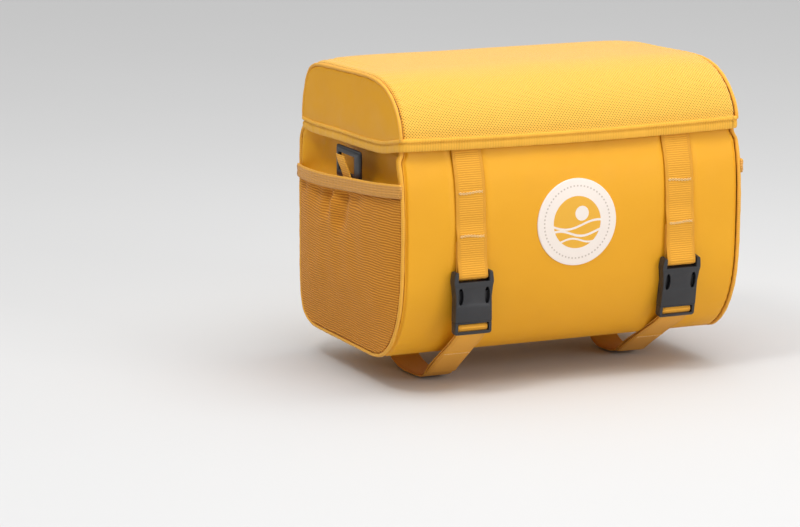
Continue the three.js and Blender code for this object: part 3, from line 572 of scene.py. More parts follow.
def ribbed_tape(tree, tone, pitch, depth, across=True):
    """Grosgrain or elastic tape: fine even ribs across it or along it, with a little sheen."""
    uv, u, v = cloth_place(tree)
    rib = ribs(tree, u if across else v, pitch)
    if across:
        # The ribs show in stretches, as the tape's folded face comes and goes
        show = add_node(tree, "ShaderNodeMapRange", {0: noise(tree, uv, 55), 1: 0.36, 2: 0.56})
        rib = maths(tree, "MULTIPLY", rib, show.outputs[0])
    lift = maths(tree, "MULTIPLY_ADD", noise(tree, uv, 5), 0.3, maths(tree, "SUBTRACT", 1.0, rib))
    base = blend_colours(tree, maths(tree, "MULTIPLY", rib, 0.28), tone, colour(tone, 0.6))
    if not across:
        # The elastic's rolled upper edge is painted lighter, a painted highlight along the top of its fold
        base = blend_colours(tree, maths(tree, "GREATER_THAN", v, ELASTIC_EDGE * MM), base, "piping")
    return base, lift, depth


def moulded_acetal(tree):
    """Moulded acetal: black-grey and satin, with the mould's fine spark texture."""
    place = add_node(tree, "ShaderNodeTexCoord").outputs["Object"]
    base = blend_colours(tree, noise(tree, place, 9), colour("acetal", 0.7), "acetal")
    rough = maths(tree, "MULTIPLY_ADD", noise(tree, place, 5), 0.2, 0.3)
    return base, noise(tree, place, 0.9, 3), 0.03, rough


def twisted_thread(tree):
    """Bonded polyester thread: pale and slightly shiny, with the twist of its plies."""
    place = add_node(tree, "ShaderNodeTexCoord").outputs["Object"]
    parts = add_node(tree, "ShaderNodeSeparateXYZ", {"Vector": place})
    plies = ribs(tree, maths(tree, "ADD", parts.outputs["X"], parts.outputs["Z"]), 0.7)
    return blend_colours(tree, plies, colour("thread", 0.75), "thread"), plies, 0.08


def printed_patch(tree):
    """Heat-pressed print: cream ground with a yellow sun over hills in a ring of short dashes."""
    uv, u, v = cloth_place(tree)
    radius = size("badge") / 2 * MM

    def from_centre(x, y):
        return maths(tree, "SQRT", maths(tree, "ADD", *[maths(tree, "POWER", part, 2.0) for part in (x, y)]))

    def shifted(value, share):
        return maths(tree, "SUBTRACT", value, share * radius)

    def under(value, share):
        return maths(tree, "LESS_THAN", value, share * radius)

    gap = from_centre(u, v)
    cream = under(from_centre(shifted(u, 0.12), shifted(v, 0.2)), 0.17)
    hills = [(-0.06, 0.09, 1.3, 0.05), (-0.25, 0.07, 1.7, 0.055), (-0.42, 0.05, 2.2, 0.045)]
    for level, swing, waves_across, width in hills:
        bend = maths(tree, "MULTIPLY_ADD", u, math.pi * waves_across / radius, 9 * level)
        line = maths(tree, "MULTIPLY_ADD", maths(tree, "SINE", bend), swing * radius, level * radius)
        off = maths(tree, "ABSOLUTE", maths(tree, "SUBTRACT", v, line))
        cream = maths(tree, "MAXIMUM", cream, under(off, width / 2))
    yellow = maths(tree, "MULTIPLY", under(gap, 0.6), maths(tree, "SUBTRACT", 1.0, cream))
    on_ring = under(maths(tree, "ABSOLUTE", shifted(gap, 0.83)), 0.018)
    turn = maths(tree, "MULTIPLY", maths(tree, "ARCTAN2", u, v), 60.0)
    dash = maths(tree, "GREATER_THAN", maths(tree, "SINE", turn), 0.1)
    grey = maths(tree, "MULTIPLY", on_ring, dash)
    ground = blend_colours(tree, grey, "badge", (*linear(GREY_OF_RING), 1.0))
    return blend_colours(tree, yellow, ground, "print"), noise(tree, uv, 2.0), 0.03


def painted_board(tree):
    """Matt painted board, even and pale."""
    place = add_node(tree, "ShaderNodeTexCoord").outputs["Object"]
    return (blend_colours(tree, noise(tree, place, 300), colour("floor", 0.98), "floor"),)


# Each finish: its maker, and the uniform values of the shader's own sockets
DRY = {"Roughness": 0.7, "Specular IOR Level": 0.25}
TAPE = {"Roughness": 0.66, "Specular IOR Level": 0.25, "Sheen Weight": 0.08}
FINISHES = {
    "coated_polyester": (coated_polyester, {"Roughness": 0.5, "Specular IOR Level": 0.3}),
    "dotted_weave": (dotted_weave, {**DRY, "Sheen Weight": 0.35, "Sheen Roughness": 0.35}),
    "ribbed_knit": (ribbed_knit, {"Roughness": 0.85, "Specular IOR Level": 0.2, "Sheen Weight": 0.06}),
    "polyester_webbing": (polyester_webbing, {**DRY, "Sheen Weight": 0.08}),
    "hem_tape": (lambda tree: ribbed_tape(tree, "binding", 2.3, 0.16), TAPE),
    "piping_cloth": (lambda tree: ribbed_tape(tree, "piping", 1.6, 0.06), TAPE),
    "elastic": (lambda tree: ribbed_tape(tree, "elastic", 2.1, 0.3, across=False), TAPE),
    "moulded_acetal": (moulded_acetal, {"Roughness": 0.4, "IOR": 1.48}),
    "twisted_thread": (twisted_thread, {"Roughness": 0.5, "Sheen Weight": 0.2}),
    "printed_patch": (printed_patch, {"Roughness": 0.55}),
    "painted_board": (painted_board, {"Roughness": 0.9}),
}
MATERIALS = {}


def material(name):
    """Each finish, made the first time that a piece asks for it."""
    if name not in MATERIALS:
        maker, values = FINISHES[name]
        made = MATERIALS[name] = bpy.data.materials.new(name)
        made.use_nodes = True
        tree = made.node_tree
        shader = tree.nodes["Principled BSDF"]
        for socket, value in values.items():
            shader.inputs[socket].default_value = value
        finish_shader(tree, shader, *maker(tree))
    return MATERIALS[name]


def finish_shader(tree, shader, base, height=None, depth=0.0, rough=None):
    """Links a colour, a bump of a depth in millimetres and a roughness to the shader."""
    tree.links.new(base, shader.inputs["Base Color"])
    if height is not None:
        bump = add_node(tree, "ShaderNodeBump", {"Height": height, "Distance": depth * MM, "Strength": 1.0})
        tree.links.new(bump.outputs["Normal"], shader.inputs["Normal"])
    if rough is not None:
        tree.links.new(rough, shader.inputs["Roughness"])


# Surfaces of the bag

def front_swell(bulge, x):
    """How far the filled bag pushes its front out at x."""
    return FRONT_BULGE * bulge * np.cos(np.pi * x / size("body_width"))


def lifted(line, x, out):
    """Points at x that stand out from an outline."""
    y, z, ny, nz = columns(line.y, line.z, line.ny, line.nz)
    return grid(x, y + ny * out, z + nz * out)


def lid_crown(bulge, x):
    return LID_CROWN * bulge * (1 - np.abs(x / lid_half()) ** 12)


def hem_sag(x, y):
    at_front = ease(-y / (size("body_depth") / 2), 0.78, 0.93)
    return LID_HEM_SAG * at_front * np.cos(np.pi / 2 * np.clip(x / lid_half(), -1, 1))


def at_height(line, z):
    """The front outline's row at a height, as y, its bulge and its direction."""
    order = np.argsort(line.z)
    return [np.interp(z, line.z[order], column[order]) for column in (line.y, line.bulge, line.ny, line.nz)]


def on_panel(line, x, z, out):
    """y and z of points that stand off the front panel at x and at a height."""
    y, bulge, ny, nz = at_height(line, z)
    swell = front_swell(bulge, x) + out
    return y + ny * swell, z + nz * swell


def end_edges(line, distance):
    """The front edge of an end panel, and its back edge past the bottom, as functions of height."""
    lowest = int(np.argmin(line.z))
    drawn = inset(line, distance)
    edges = []
    for part in (drawn[:lowest + 1][::-1], drawn[lowest + BOTTOM_ROWS:]):
        y, z = part[np.argsort(part[:, 1])].T
        edges.append(lambda height, y=y, z=z: np.interp(height, z, y))
    return edges


def body_cloth():
    """The one sheet of coated cloth that is the front, the bottom and the back."""
    line = body_outline()
    half = body_half_width(line.z) - SEAM_INSET
    x = seam_columns(half.max(), 3.2) * (half / half.max())[:, None]
    seam = half[:, None] - np.abs(x)
    along, z, bulge, ny = columns(line.along, line.z, line.bulge, line.ny)
    front = ease(-ny, 0.2, 0.8)
    beside = np.abs(np.abs(x) - size("strap_place"))
    pressed = 1 / (1 + np.exp((beside - size("strap_width") / 2 - 1.2) / 1.1)) * ease(z, 95, 125)
    offset = curl(seam, CURL) + 0.32 * puckers(along, seam, pitch=8.5, reach=8, seed=1.0)
    offset -= 1.4 * hump(seam, 1.3, 0.8)
    offset += 0.5 * waves(x, along, length=95, seed=3) * front
    offset += front * (0.5 * hump(beside, 17, 3) - 0.8 * pressed)
    offset += 0.35 * front * puckers(along, 150 - np.abs(x), pitch=5.5, reach=16, seed=2.0) * hump(z, 172, 9)
    points = lifted(line, x, front_swell(bulge, x) + offset)
    piece = cloth_sheet("body_cloth", points, grid(x, along), (0, 0, -1), size("cloth"))
    finish_piece(piece, "coated_polyester", "coated_cloth", "shell_panel")


def end_cloth(side):
    """The flat end of the body, seen between the lid and the pocket."""
    line = body_outline()
    front, back = end_edges(line, SEAM_INSET)
    low, high = np.linspace(3.6, 60, 20)[:-1], np.linspace(60, size("body_height") - 0.3, 44)
    z = np.concatenate([low, high])[:, None]
    half = seam_columns(0.5 * (back(100) - front(100)), 4.0)
    y = front(z) + (back(z) - front(z)) * ((half / half.max() + 1) / 2)
    place = grid(y, z)
    edge = distance_to(place, inset(line, SEAM_INSET))
    slack = 0.5 * waves(y, z, length=46, seed=5) + 0.25 * puckers(z, edge, pitch=7, reach=9, seed=1.7)
    offset = curl(edge, 1.6) + ease(z, 120, 150) * slack - 0.2
    offset -= END_HOLLOW * ease(z, 116, 144) * ease(edge, 2, 18)
    x = SIGNS[side] * (body_half_width(z) + np.minimum(offset, 0.2))
    piece = cloth_sheet(f"{side}_end_cloth", grid(x, y, z), place, (SIGNS[side], 0, 0), size("cloth"))
    finish_piece(piece, "coated_polyester", "coated_cloth", f"{side}_side_panel")


def cord_bead(side, name, node, line, half, radius):
    """A covered cord that follows an outline at the corner between a panel and an end."""
    along, z = columns(line.along, line.z)
    lumps = 1 + 0.05 * np.sin(along / 2.1) + 0.04 * np.sin(along / 5.3)
    turns = ring(10)
    out = radius * np.cos(turns) * lumps - CORD_SUNK
    across = radius * np.sin(turns) * lumps - CORD_SUNK
    points = lifted(line, SIGNS[side] * (half(z) + across), out)
    piece = swept(f"{side}_{name}", points, grid(along, radius * turns))
    finish_piece(piece, "piping_cloth", "binding", f"{side}_{node}")


def pocket_place(across, up, line):
    """y and z on a pocket from shares of its width and height."""
    front, back = end_edges(line, SEAM_INSET)
    upper = level_line(POCKET_LINE, size("body_height"))
    bottom = SEAM_INSET + 0.4
    y = size("body_depth") * (across - 0.5)
    for _ in range(6):
        top = upper(y) - POCKET_HEM_HEIGHT - CLEAR
        z = bottom + (top - bottom) * up
        y = front(z) + (back(z) - front(z)) * across
    return y, z


def pocket_stand(across, up):
    """How far the pocket stands off the end where nothing gathers it, as a share."""
    spread = 1 - np.abs(2 * across - 1) ** 4
    return spread * ease(up, -0.05, 0.5) * (1 - 0.22 * ease(up, 0.7, 1))


def pocket_knit(side):
    """The stretch knit, gathered under its hem, with one dent below the frame."""
    line = body_outline()
    across = (seam_columns(100, 1.9) / 100 + 1) / 2
    across, up = np.broadcast_arrays(across, np.linspace(0, 1, 90)[:, None] ** 1.15)
    y, z = pocket_place(across, up, line)
    place = grid(y, z)
    bulge = pocket_stand(across, up)
    for centre, width, drop, puff in POCKET_GATHERS:
        lean = 0.05 * (1 - up) * (centre - 0.5)
        window = ease(up, 1 - drop, 1 - 0.4 * drop) * (1 - 0.65 * ease(up, 0.975, 1))
        bulge = bulge + puff * hump(across + lean, centre, width) * window
    stand = size("pocket_bulge") * np.maximum(0, bulge) * ease(up, 0, 0.05)
    stand -= DENT * hump(y, 2, 13) * hump(z, 104, 7)
    stand += 0.35 * waves(y, z, length=34, seed=8) * ease(up, 0.04, 0.3) * pocket_stand(across, up)
    edge = distance_to(place, inset(line, SEAM_INSET))
    stand += 0.4 * puckers(y + z, edge, pitch=5.5, reach=7, seed=0.6) * ease(edge, 0, 3)
    x = SIGNS[side] * (body_half_width(z) + CLEAR + np.maximum(0.1, stand))
    piece = cloth_sheet(f"{side}_pocket_knit", grid(x, y, z), place, (SIGNS[side], 0, 0), KNIT_THICKNESS)
    finish_piece(piece, "ribbed_knit", "pocket_knit", f"{side}_pocket")


def pocket_elastic(side):
    """The folded elastic hem of a pocket, with lines along it."""
    across = np.linspace(-0.016, 1.006, 90)
    y, z = pocket_place(across, np.ones_like(across), body_outline())
    stand = size("pocket_bulge") * pocket_stand(across, 1.0) + 0.6 + body_half_width(z)
    stand += 0.25 * np.sin(math.tau * across * 31)
    turns = ring(40)
    deep = squared(np.cos(turns), 0.7)
    height = POCKET_HEM_HEIGHT / 2 * (1 + squared(np.sin(turns), 0.35))
    out = ELASTIC_THICKNESS / 2 * (1 + deep) + 0.22 * np.cos(math.tau * height / 2.3) * (deep > 0.6)
    y, z, stand = columns(y, z, stand)
    points = grid(SIGNS[side] * (stand + out), y, z + CLEAR + height)
    piece = swept(f"{side}_pocket_elastic", points, grid(y, height))
    finish_piece(piece, "elastic", "binding", f"{side}_pocket_hem")


def lid_cloth():
    """The padded sheet over the top, from the front hem to the back."""
    line = lid_outline()
    half = lid_half_width(line.z) - SEAM_INSET
    x = seam_columns(half.max(), 3.0) * (half / half.max())[:, None]
    seam = half[:, None] - np.abs(x)
    along, y, z, bulge = columns(line.along, line.y, line.z, line.bulge)
    offset = lid_crown(bulge, x) + curl(seam, LID_ROLL)
    low_front = (y < -60) * (1 - ease(z, 196, 214))
    offset += 0.5 * puckers(along, seam, pitch=3.1, reach=6, seed=0.4) * low_front
    offset += 0.3 * puckers(along, seam, pitch=9, reach=12, seed=2.2)
    back_corner = ease(y, -20, 20) * (1 - ease(y, 86, 100))
    offset -= 1.3 * back_corner * (hump(seam, 8, 1.3) + 0.8 * hump(seam, 12.5, 1.6))
    offset += 0.45 * waves(x, along, length=120, seed=11) * ease(seam, 0, 25)
    offset -= 0.5 * hump(along, 4.5, 1.0)
    points = lifted(line, x, offset)
    points[..., 2] -= hem_sag(x, y) * (1 - ease(z, 186, 206))
    piece = cloth_sheet("lid_cloth", points, grid(x, along), (0, 0, 1), size("padding"))
    finish_piece(piece, "dotted_weave", "lid_cloth", "lid_panel")


def lid_end_cloth(side):
    """The end of the lid, between its cord and its hem."""
    hem = level_line(LID_HEM_LINE, lid_top())
    above = LID_HEM_HEIGHT + 0.1
    arch = inset(lid_outline(), SEAM_INSET - 0.8)
    cap_y, cap_z = respaced(arch[arch[:, 1] > hem(arch[:, 0]) + above + 0.8], 2.0).T
    y, low, top = columns(cap_y, hem(cap_y) + above, cap_z)
    z = low + (top - low) * (1 - (1 - np.linspace(0, 1, 26)) ** 1.6)
    place = grid(y, z)
    edge = distance_to(place, arch)
    slack = 0.35 * waves(y, z, length=44, seed=14) * ease(edge, 2, 20)
    slack += 0.3 * puckers(y + z, edge, pitch=6, reach=8, seed=2.9) * ease(edge, 0, 3)
    offset = curl(edge, 1.8) + 0.8 * ease(edge, 0, 30) + slack
    offset *= ease(z - low, LID_FOLD_HEIGHT - 1, LID_FOLD_HEIGHT + 7)
    x = SIGNS[side] * (lid_half_width(z) + offset)
    piece = cloth_sheet(f"{side}_lid_end_cloth", grid(x, y, z), place, (SIGNS[side], 0, 0), size("cloth"))
    finish_piece(piece, "coated_polyester", "coated_cloth", f"{side}_lid_gusset")


def lid_edge():
    """The lid's lower edge in plan, with its outward direction."""
    half, line = lid_half(), lid_outline()
    front, back = line.y[0], line.y[-1]
    points = []
    for x, y, start in [(half, front, -90), (half, back, 0), (-half, back, 90), (-half, front, 180)]:
        centre = np.array([x - math.copysign(LID_CORNER, x), y - math.copysign(LID_CORNER, y)])
        for angle in np.radians(np.linspace(start, start + 90, 8)):
            points.append(centre + LID_CORNER * np.array([math.cos(angle), math.sin(angle)]))
    points.append(points[0])
    edge = respaced(np.array(points), 2.0)[:-1]
    way = np.roll(edge, -1, axis=0) - np.roll(edge, 1, axis=0)
    way /= np.linalg.norm(way, axis=1, keepdims=True)
    return edge[:, 0], edge[:, 1], way[:, 1], -way[:, 0]


def lid_binding():
    """The folded tape round the lid's lower edge, ribbed across and fuller at its fold."""
    x, y, nx, ny = columns(*lid_edge())
    turns = ring(72)
    deep = squared(np.cos(turns), 0.7)
    height = (LID_HEM_HEIGHT + LID_FOLD_HEIGHT) / 2 * (1 + squared(np.sin(turns), 0.5))
    fold = ease(height, LID_HEM_HEIGHT, LID_HEM_HEIGHT + 1)
    groove = hump(height, LID_HEM_HEIGHT, 0.5)
    along = np.arange(len(x))[:, None] * 2.0
    ripple = 0.22 * np.sin(math.tau * along / 17) + 0.15 * np.sin(math.tau * along / 7.7)
    out = LID_FOLD_OUT - LID_HEM_THICKNESS / 2 + LID_HEM_THICKNESS / 2 * deep
    out = out + (LID_FOLD_OUT * fold - 1.5 * groove + ripple) * (deep > 0)
    out = out + lid_crown(lid_outline().bulge[0], x) * np.maximum(0, -ny)
    hem = level_line(LID_HEM_LINE, lid_top())
    low = hem(y) - hem_sag(x, y) + LID_HEM_RISE * ease(-y, 60, 100)
    points = grid(x + nx * out, y + ny * out, low + height)
    piece = swept("lid_binding", points, grid(along, height), closed=True)
    finish_piece(piece, "hem_tape", "binding", "lid_hem")


def stitch_run(name, centres, along, outward, thickness):
    """Short stitches as one piece: a low six-sided barrel at each centre."""
    rings = [(-0.5, 0.0, 0.35), (-0.36, 0.5, 0.9), (0.36, 0.5, 0.9), (0.5, 0.0, 0.35)]
    sides, last = 6, 6 * (len(rings) - 1)
    skin = grid_faces(len(rings), sides, round_columns=True)
    vertices, faces = [], []
    for centre, a, c in zip(centres, along, outward):
        b = np.cross(c, a)
        start = len(vertices)
        for place, lift, wide in rings:
            for turn in ring(sides):
                vertices.append(centre + a * place * STITCH_LENGTH + c * lift * thickness * 0.6
                                + thickness / 2 * wide * (b * math.cos(turn) + c * math.sin(turn)))
        faces += (skin + start).tolist()
        faces.append(list(range(start, start + sides)))
        faces.append(list(range(start + last + sides - 1, start + last - 1, -1)))
    piece = link_mesh(name, np.array(vertices), faces)
    finish_piece(piece, "twisted_thread", "binding")


# Straps

def webbing_section(width, thickness, count):
    """Places round a webbing's section: across it, and through its thickness."""
    turns = ring(count)
    return squared(np.cos(turns), 0.28) * width / 2, squared(np.sin(turns), 0.5) * thickness / 2


def ribbon(name, path, centre, fold=0.0):
    """Webbing along a path of y, z and lean, with soft edges; fold thickens its first stretch."""
    path = smooth_rows(path, 1.0, 1.3)
    along, out = travelled(*path.T[:2]), np.stack(right_of(*path.T[:2]), 1)
    y, z, lean, ny, nz, place = columns(*path.T, *out.T, along)
    thick = size("webbing") * (1 + fold * (1 - ease(place, TAIL_FOLD - 0.8, TAIL_FOLD + 0.8)))
    wide, deep = webbing_section(size("strap_width"), thick, 24)
    x = centre + wide
    _, bulge, facing, _ = at_height(body_front(), np.clip(z, 1, size("body_height")))
    follow = lean * facing * (front_swell(bulge, x) - front_swell(bulge, centre))
    piece = swept(name, grid(x, y + ny * deep + follow, z + nz * deep), grid(wide, place))
    return piece, path, out, along


def buckle_frame(side):
    """The turn of a buckle about X and where its middle is, read from its solid's box."""
    low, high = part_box(f"{side}_buckle_socket")
    tilt = math.radians(TILTS[side])
    top, half = BUCKLE_LENGTH / 2, BUCKLE_THICKNESS / 2
    z = high[2] / MM - half * math.sin(tilt) - top * math.cos(tilt)
    y = low[1] / MM + half * math.cos(tilt) + top * math.sin(tilt)
    return tilt, y, z


def in_buckle(side, y, z, lean=0.0):
    """A point of a strap's path, from its place in the buckle's own frame."""
    tilt, middle_y, middle_z = buckle_frame(side)
    turned = (y * math.cos(tilt) - z * math.sin(tilt), y * math.sin(tilt) + z * math.cos(tilt))
    return (middle_y + turned[0], middle_z + turned[1], lean)


def arc(side, z, radius, start, end, steps):
    """Points round a bar of the buckle, at its height in the buckle's own frame."""
    angles = np.radians(np.linspace(start, end, steps + 1))
    return [in_buckle(side, radius * math.cos(a), z + radius * math.sin(a)) for a in angles]


def upper_strap(side):
    """Sewn down the front, round the buckle's bar and back up behind itself to the lower tack."""
    line, x = body_front(), SIGNS[side] * size("strap_place")
    height, webbing = size("body_height"), size("webbing")
    top, tack = 0.968 * height, 0.558 * height
    close = CLEAR + webbing / 2
    apart = close + webbing + CLEAR
    bar = in_buckle(side, 0, BAR_Z)[1]

    def place(z, out, lean=1.0):
        return (*on_panel(line, x, z, out), lean)

    path = [place(z, close) for z in np.linspace(top, tack + 10, 9)]
    path += [place(tack + 5, close + 0.8), place(tack, apart + 0.2), place(tack - 5, apart + 0.6, 0.8),
             place(tack + 0.55 * (bar - tack), apart + 1.2, 0.4)]
    path += arc(side, BAR_Z, BAR / 2 + CLEAR + webbing / 2, 180, 360, 8)
    path += [place(bar + 0.5 * (tack - bar), close + CLEAR, 0.4), place(tack - 4, close)]
    piece, path, out, _ = ribbon(f"{side}_webbing", path, x)
    finish_piece(piece, "polyester_webbing", "webbing", f"{side}_strap")
    down = int(np.argmin(path[:, 1]))
    tacks = []
    for share in TACKS[side]:
        row = int(np.argmin(np.abs(path[:down, 1] - share * height)))
        tacks.append((path[row, 0], path[row, 1], out[row]))
    bar_tacks(side, x, tacks)


def bar_tacks(side, x, tacks):
    """Two dense zigzag rows of thread across the webbing."""
    centres, along, outward = [], [], []
    for y, z, (ny, nz) in tacks:
        out, down = np.array([0, ny, nz]), np.array([0, -nz, ny])
        front = np.array([0, y, z]) + out * (size("webbing") / 2 + 0.1)
        for row in range(2):
            for step in range(15):
                share = step / 14 - 0.5
                drift = 0.5 * math.sin(5.1 * share + z) + (row - 0.5) * 0.8
                centres.append(front + np.array([x + 19.5 * share, 0, 0]) + down * drift)
                way = np.array([1.0, 0, 0]) + down * (0.75 if (step + row) % 2 else -0.75)
                along.append(way / np.linalg.norm(way))
                outward.append(out)
    stitch_run(f"{side}_bar_tacks", centres, along, outward, 0.75)


def lower_strap(side):
    """From the end of the free tail up through the ladder lock, down under the bag and back."""
    x, webbing = SIGNS[side] * size("strap_place"), size("webbing")
    foot = -BUCKLE_LENGTH / 2
    radius = LOCK_BAR / 2 + CLEAR + webbing / 2
    pitch = webbing + 0.45
    leave_y, leave_z, _ = in_buckle(side, 0.4, foot - 1)
    eye_y, eye_z = EYES[side] * size("body_depth"), -23.0
    run = math.hypot(eye_y - leave_y, eye_z - leave_z)
    fall_y, fall_z = (eye_y - leave_y) / run, (eye_z - leave_z) / run
    tail = TAILS[side]

    def down(distance, out):
        return (leave_y + fall_y * distance + fall_z * out, leave_z + fall_z * distance - fall_y * out, 0.0)

    def back(share, z):
        return (eye_y + share * (RETURN_Y - eye_y), z, 0.0)

    path = [down(tail, 1.3), down(tail - 10, 0.7), down(tail - 21, 0.3), down(tail * 0.5, 0), down(12, 0)]
    path += [in_buckle(side, 0.2, foot + 1), in_buckle(side, -0.4, LOCK_BAR_Z - 3.6),
             in_buckle(side, -radius, LOCK_BAR_Z - 1)]
    path += arc(side, LOCK_BAR_Z, radius, 170, 10, 6)
    path += [in_buckle(side, radius + 0.2, LOCK_BAR_Z - 2), in_buckle(side, pitch + 0.6, foot + 1)]
    path += [down(distance, -pitch) for distance in (12, run * 0.4, run * 0.75)]
    path.append((eye_y - 2, eye_z + 1.6, 0.0))
    path += [back(share, low * LOWEST_Z) for share, low in ((0.25, 1), (0.55, 1), (0.8, 0.8), (0.95, 0.42))]
    path += [(RETURN_Y + 4, -2.0, 0.0), (RETURN_Y + 7, -1.15, 0.0), (RETURN_Y + 24, -1.1, 0.0)]
    piece, path, out, along = ribbon(f"{side}_lower_webbing", path, x, fold=0.75)
    finish_piece(piece, "polyester_webbing", "webbing", f"{side}_lower_strap")
    row = int(np.argmin(np.abs(along - TAIL_FOLD + 1.8)))
    y, z = path[row, :2] - out[row] * (webbing * 0.9)
    centres = [np.array([x + place, y, z]) for place in np.linspace(-10.5, 10.5, 9)]
    outward = [np.array([0, *-out[row]])] * len(centres)
    stitch_run(f"{side}_tail_stitches", centres, [np.array([1.0, 0, 0])] * len(centres), outward, 0.6)


def side_tab(side):
    """The short webbing that lies over the end frame and is sewn down below it."""
    low, high = np.array(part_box(f"{side}_side_tab"))[:, 2] / MM
    clip = np.array(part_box(f"{side}_side_clip")) / MM
    bottom, webbing = clip[0, 2], size("webbing")
    behind = np.abs(clip[:, 0]).min() - FRAME_TUCK + webbing / 2
    front = np.abs(clip[:, 0]).max() - FRAME_TUCK + CLEAR + webbing / 2
    rows = [(high - 1, front), (high - 4, front + 0.4), (high - 8, front + 0.4), (bottom + 9, front),
            (bottom + 3, front), (bottom - 1, front), (bottom - 6, behind + 1.3), (bottom - 12, behind),
            (low, behind)]
    z, x = smooth_rows(rows, 1.0, 1.0).T
    y = clip[:, 1].mean() - 5 + 0.9 * (z - bottom)
    wide, deep = webbing_section(TAB_WIDTH, webbing, 20)
    x, y, z, nx, nz, along = columns(x, y, z, *right_of(x, z), travelled(x, z))
    points = grid(SIGNS[side] * (x - nx * deep), y + wide, z - nz * deep)
    piece = swept(f"{side}_tab_webbing", points, grid(wide, along))
    finish_piece(piece, "polyester_webbing", "webbing", f"{side}_side_tab")


# Moulded pieces

def cube_between(name, low, high):
    """A cube at its place, in millimetres."""
    low, high = np.array(low, float), np.array(high, float)
    bpy.ops.mesh.primitive_cube_add(size=1, location=(low + high) / 2 * MM, scale=(high - low) * MM)
    return settled(bpy.context.object, name)


def rod_between(name, start, end, radius, sides=20):
    """A round bar along X or Y between two points, in millimetres."""
    start, end = np.array(start, float), np.array(end, float)
    turn = (0, math.pi / 2, 0) if end[0] != start[0] else (math.pi / 2, 0, 0)
    depth = float(np.linalg.norm(end - start)) * MM
    bpy.ops.mesh.primitive_cylinder_add(vertices=sides, radius=radius * MM, depth=depth,
                                        location=(start + end) / 2 * MM, rotation=turn)
    return settled(bpy.context.object, name)


def level_rings(piece, widths):
    """Cuts rings at heights and scales each across X: widths holds height and share."""
    select_only(piece)
    bpy.ops.object.mode_set(mode="EDIT")
    for level, share in widths:
        bpy.ops.mesh.select_all(action="SELECT")
        bpy.ops.mesh.bisect(plane_co=(0, 0, level * MM), plane_no=(0, 0, 1))
        shape = bmesh.from_edit_mesh(piece.data)
        for vertex in shape.verts:
            vertex.select = abs(vertex.co.z - level * MM) < 0.01 * MM
        shape.select_flush_mode()
        bmesh.update_edit_mesh(piece.data)
        bpy.ops.transform.resize(value=(share, 1, 1), center_override=(0, 0, level * MM))
    bpy.ops.object.mode_set(mode="OBJECT")


def round_edges(piece, near, width, segments):
    """Bevels the edges whose both ends pass a test of their place in millimetres."""
    select_only(piece)
    bpy.ops.object.mode_set(mode="EDIT")
    bpy.ops.mesh.select_mode(type="EDGE")
    bpy.ops.mesh.select_all(action="DESELECT")
    shape = bmesh.from_edit_mesh(piece.data)
    for edge in shape.edges:
        edge.select = all(near(vertex.co / MM) for vertex in edge.verts)
    bmesh.update_edit_mesh(piece.data)
    bpy.ops.mesh.bevel(offset=width * MM, segments=segments)
    bpy.ops.object.mode_set(mode="OBJECT")


def combine(piece, operation, *others):
    for other in others:
        apply_modifier(piece, "BOOLEAN", operation=operation, solver="EXACT", object=other)
        bpy.data.objects.remove(other)


def soften(piece, width):
    """Small rounded edges all over, as a mould leaves them."""
    apply_modifier(piece, "BEVEL", width=width * MM, segments=2, limit_method="ANGLE",
                   angle_limit=math.radians(28), harden_normals=False)
    select_only(piece)
    bpy.ops.object.shade_smooth_by_angle(angle=math.radians(34))


def buckle_socket():
    """The upper half: ears and bar, waisted body, side windows and mouth, in its own frame."""
    top, deep = BUCKLE_LENGTH / 2, BUCKLE_THICKNESS / 2
    body, slot = BUCKLE_BODY / 2, BUCKLE_SLOT / 2
    inner = deep - BUCKLE_WALL
    piece = cube_between("socket", (-body, -deep, BUCKLE_MOUTH), (body, deep, top))
    ear = BUCKLE_EAR / BUCKLE_BODY
    level_rings(piece, [(top - 0.01, ear * 0.95), (top - 1.6, ear), (top - 6.5, ear), (top - 9, ear * 0.97),
                        (top - 12, 0.965), (5, BUCKLE_WAIST / BUCKLE_BODY), (-4.5, 1.0)])
    low = BAR_Z - BAR / 2 - 3.4
    combine(piece, "DIFFERENCE", cube_between("slot", (-slot, -THROUGH, low), (slot, THROUGH, top + 9)))
    combine(piece, "UNION", cross_bar("bar", slot, BAR_Z, BAR))
    hollow = cube_between("hollow", (-slot, -inner, BUCKLE_MOUTH - 1), (slot, inner, 11.6))
    combine(piece, "DIFFERENCE", hollow)
    for sign in SIGNS.values():
        x = sign * WINDOW_X
        window = rod_between("window", (x, -THROUGH, WINDOW_Z), (x, THROUGH, WINDOW_Z), WINDOW_RADIUS, 28)
        window.scale = (1, 1, WINDOW_STRETCH)
        window.location = (0, 0, WINDOW_Z * (1 - WINDOW_STRETCH) * MM)
        combine(piece, "DIFFERENCE", settled(window, "window"))
    soften(piece, 0.45)
    return piece


def cross_bar(name, slot, z, thickness):
    """A round bar across the slot, sunk into both of its sides."""
    return rod_between(name, (-slot - 1.5, 0, z), (slot + 1.5, 0, z), thickness / 2)


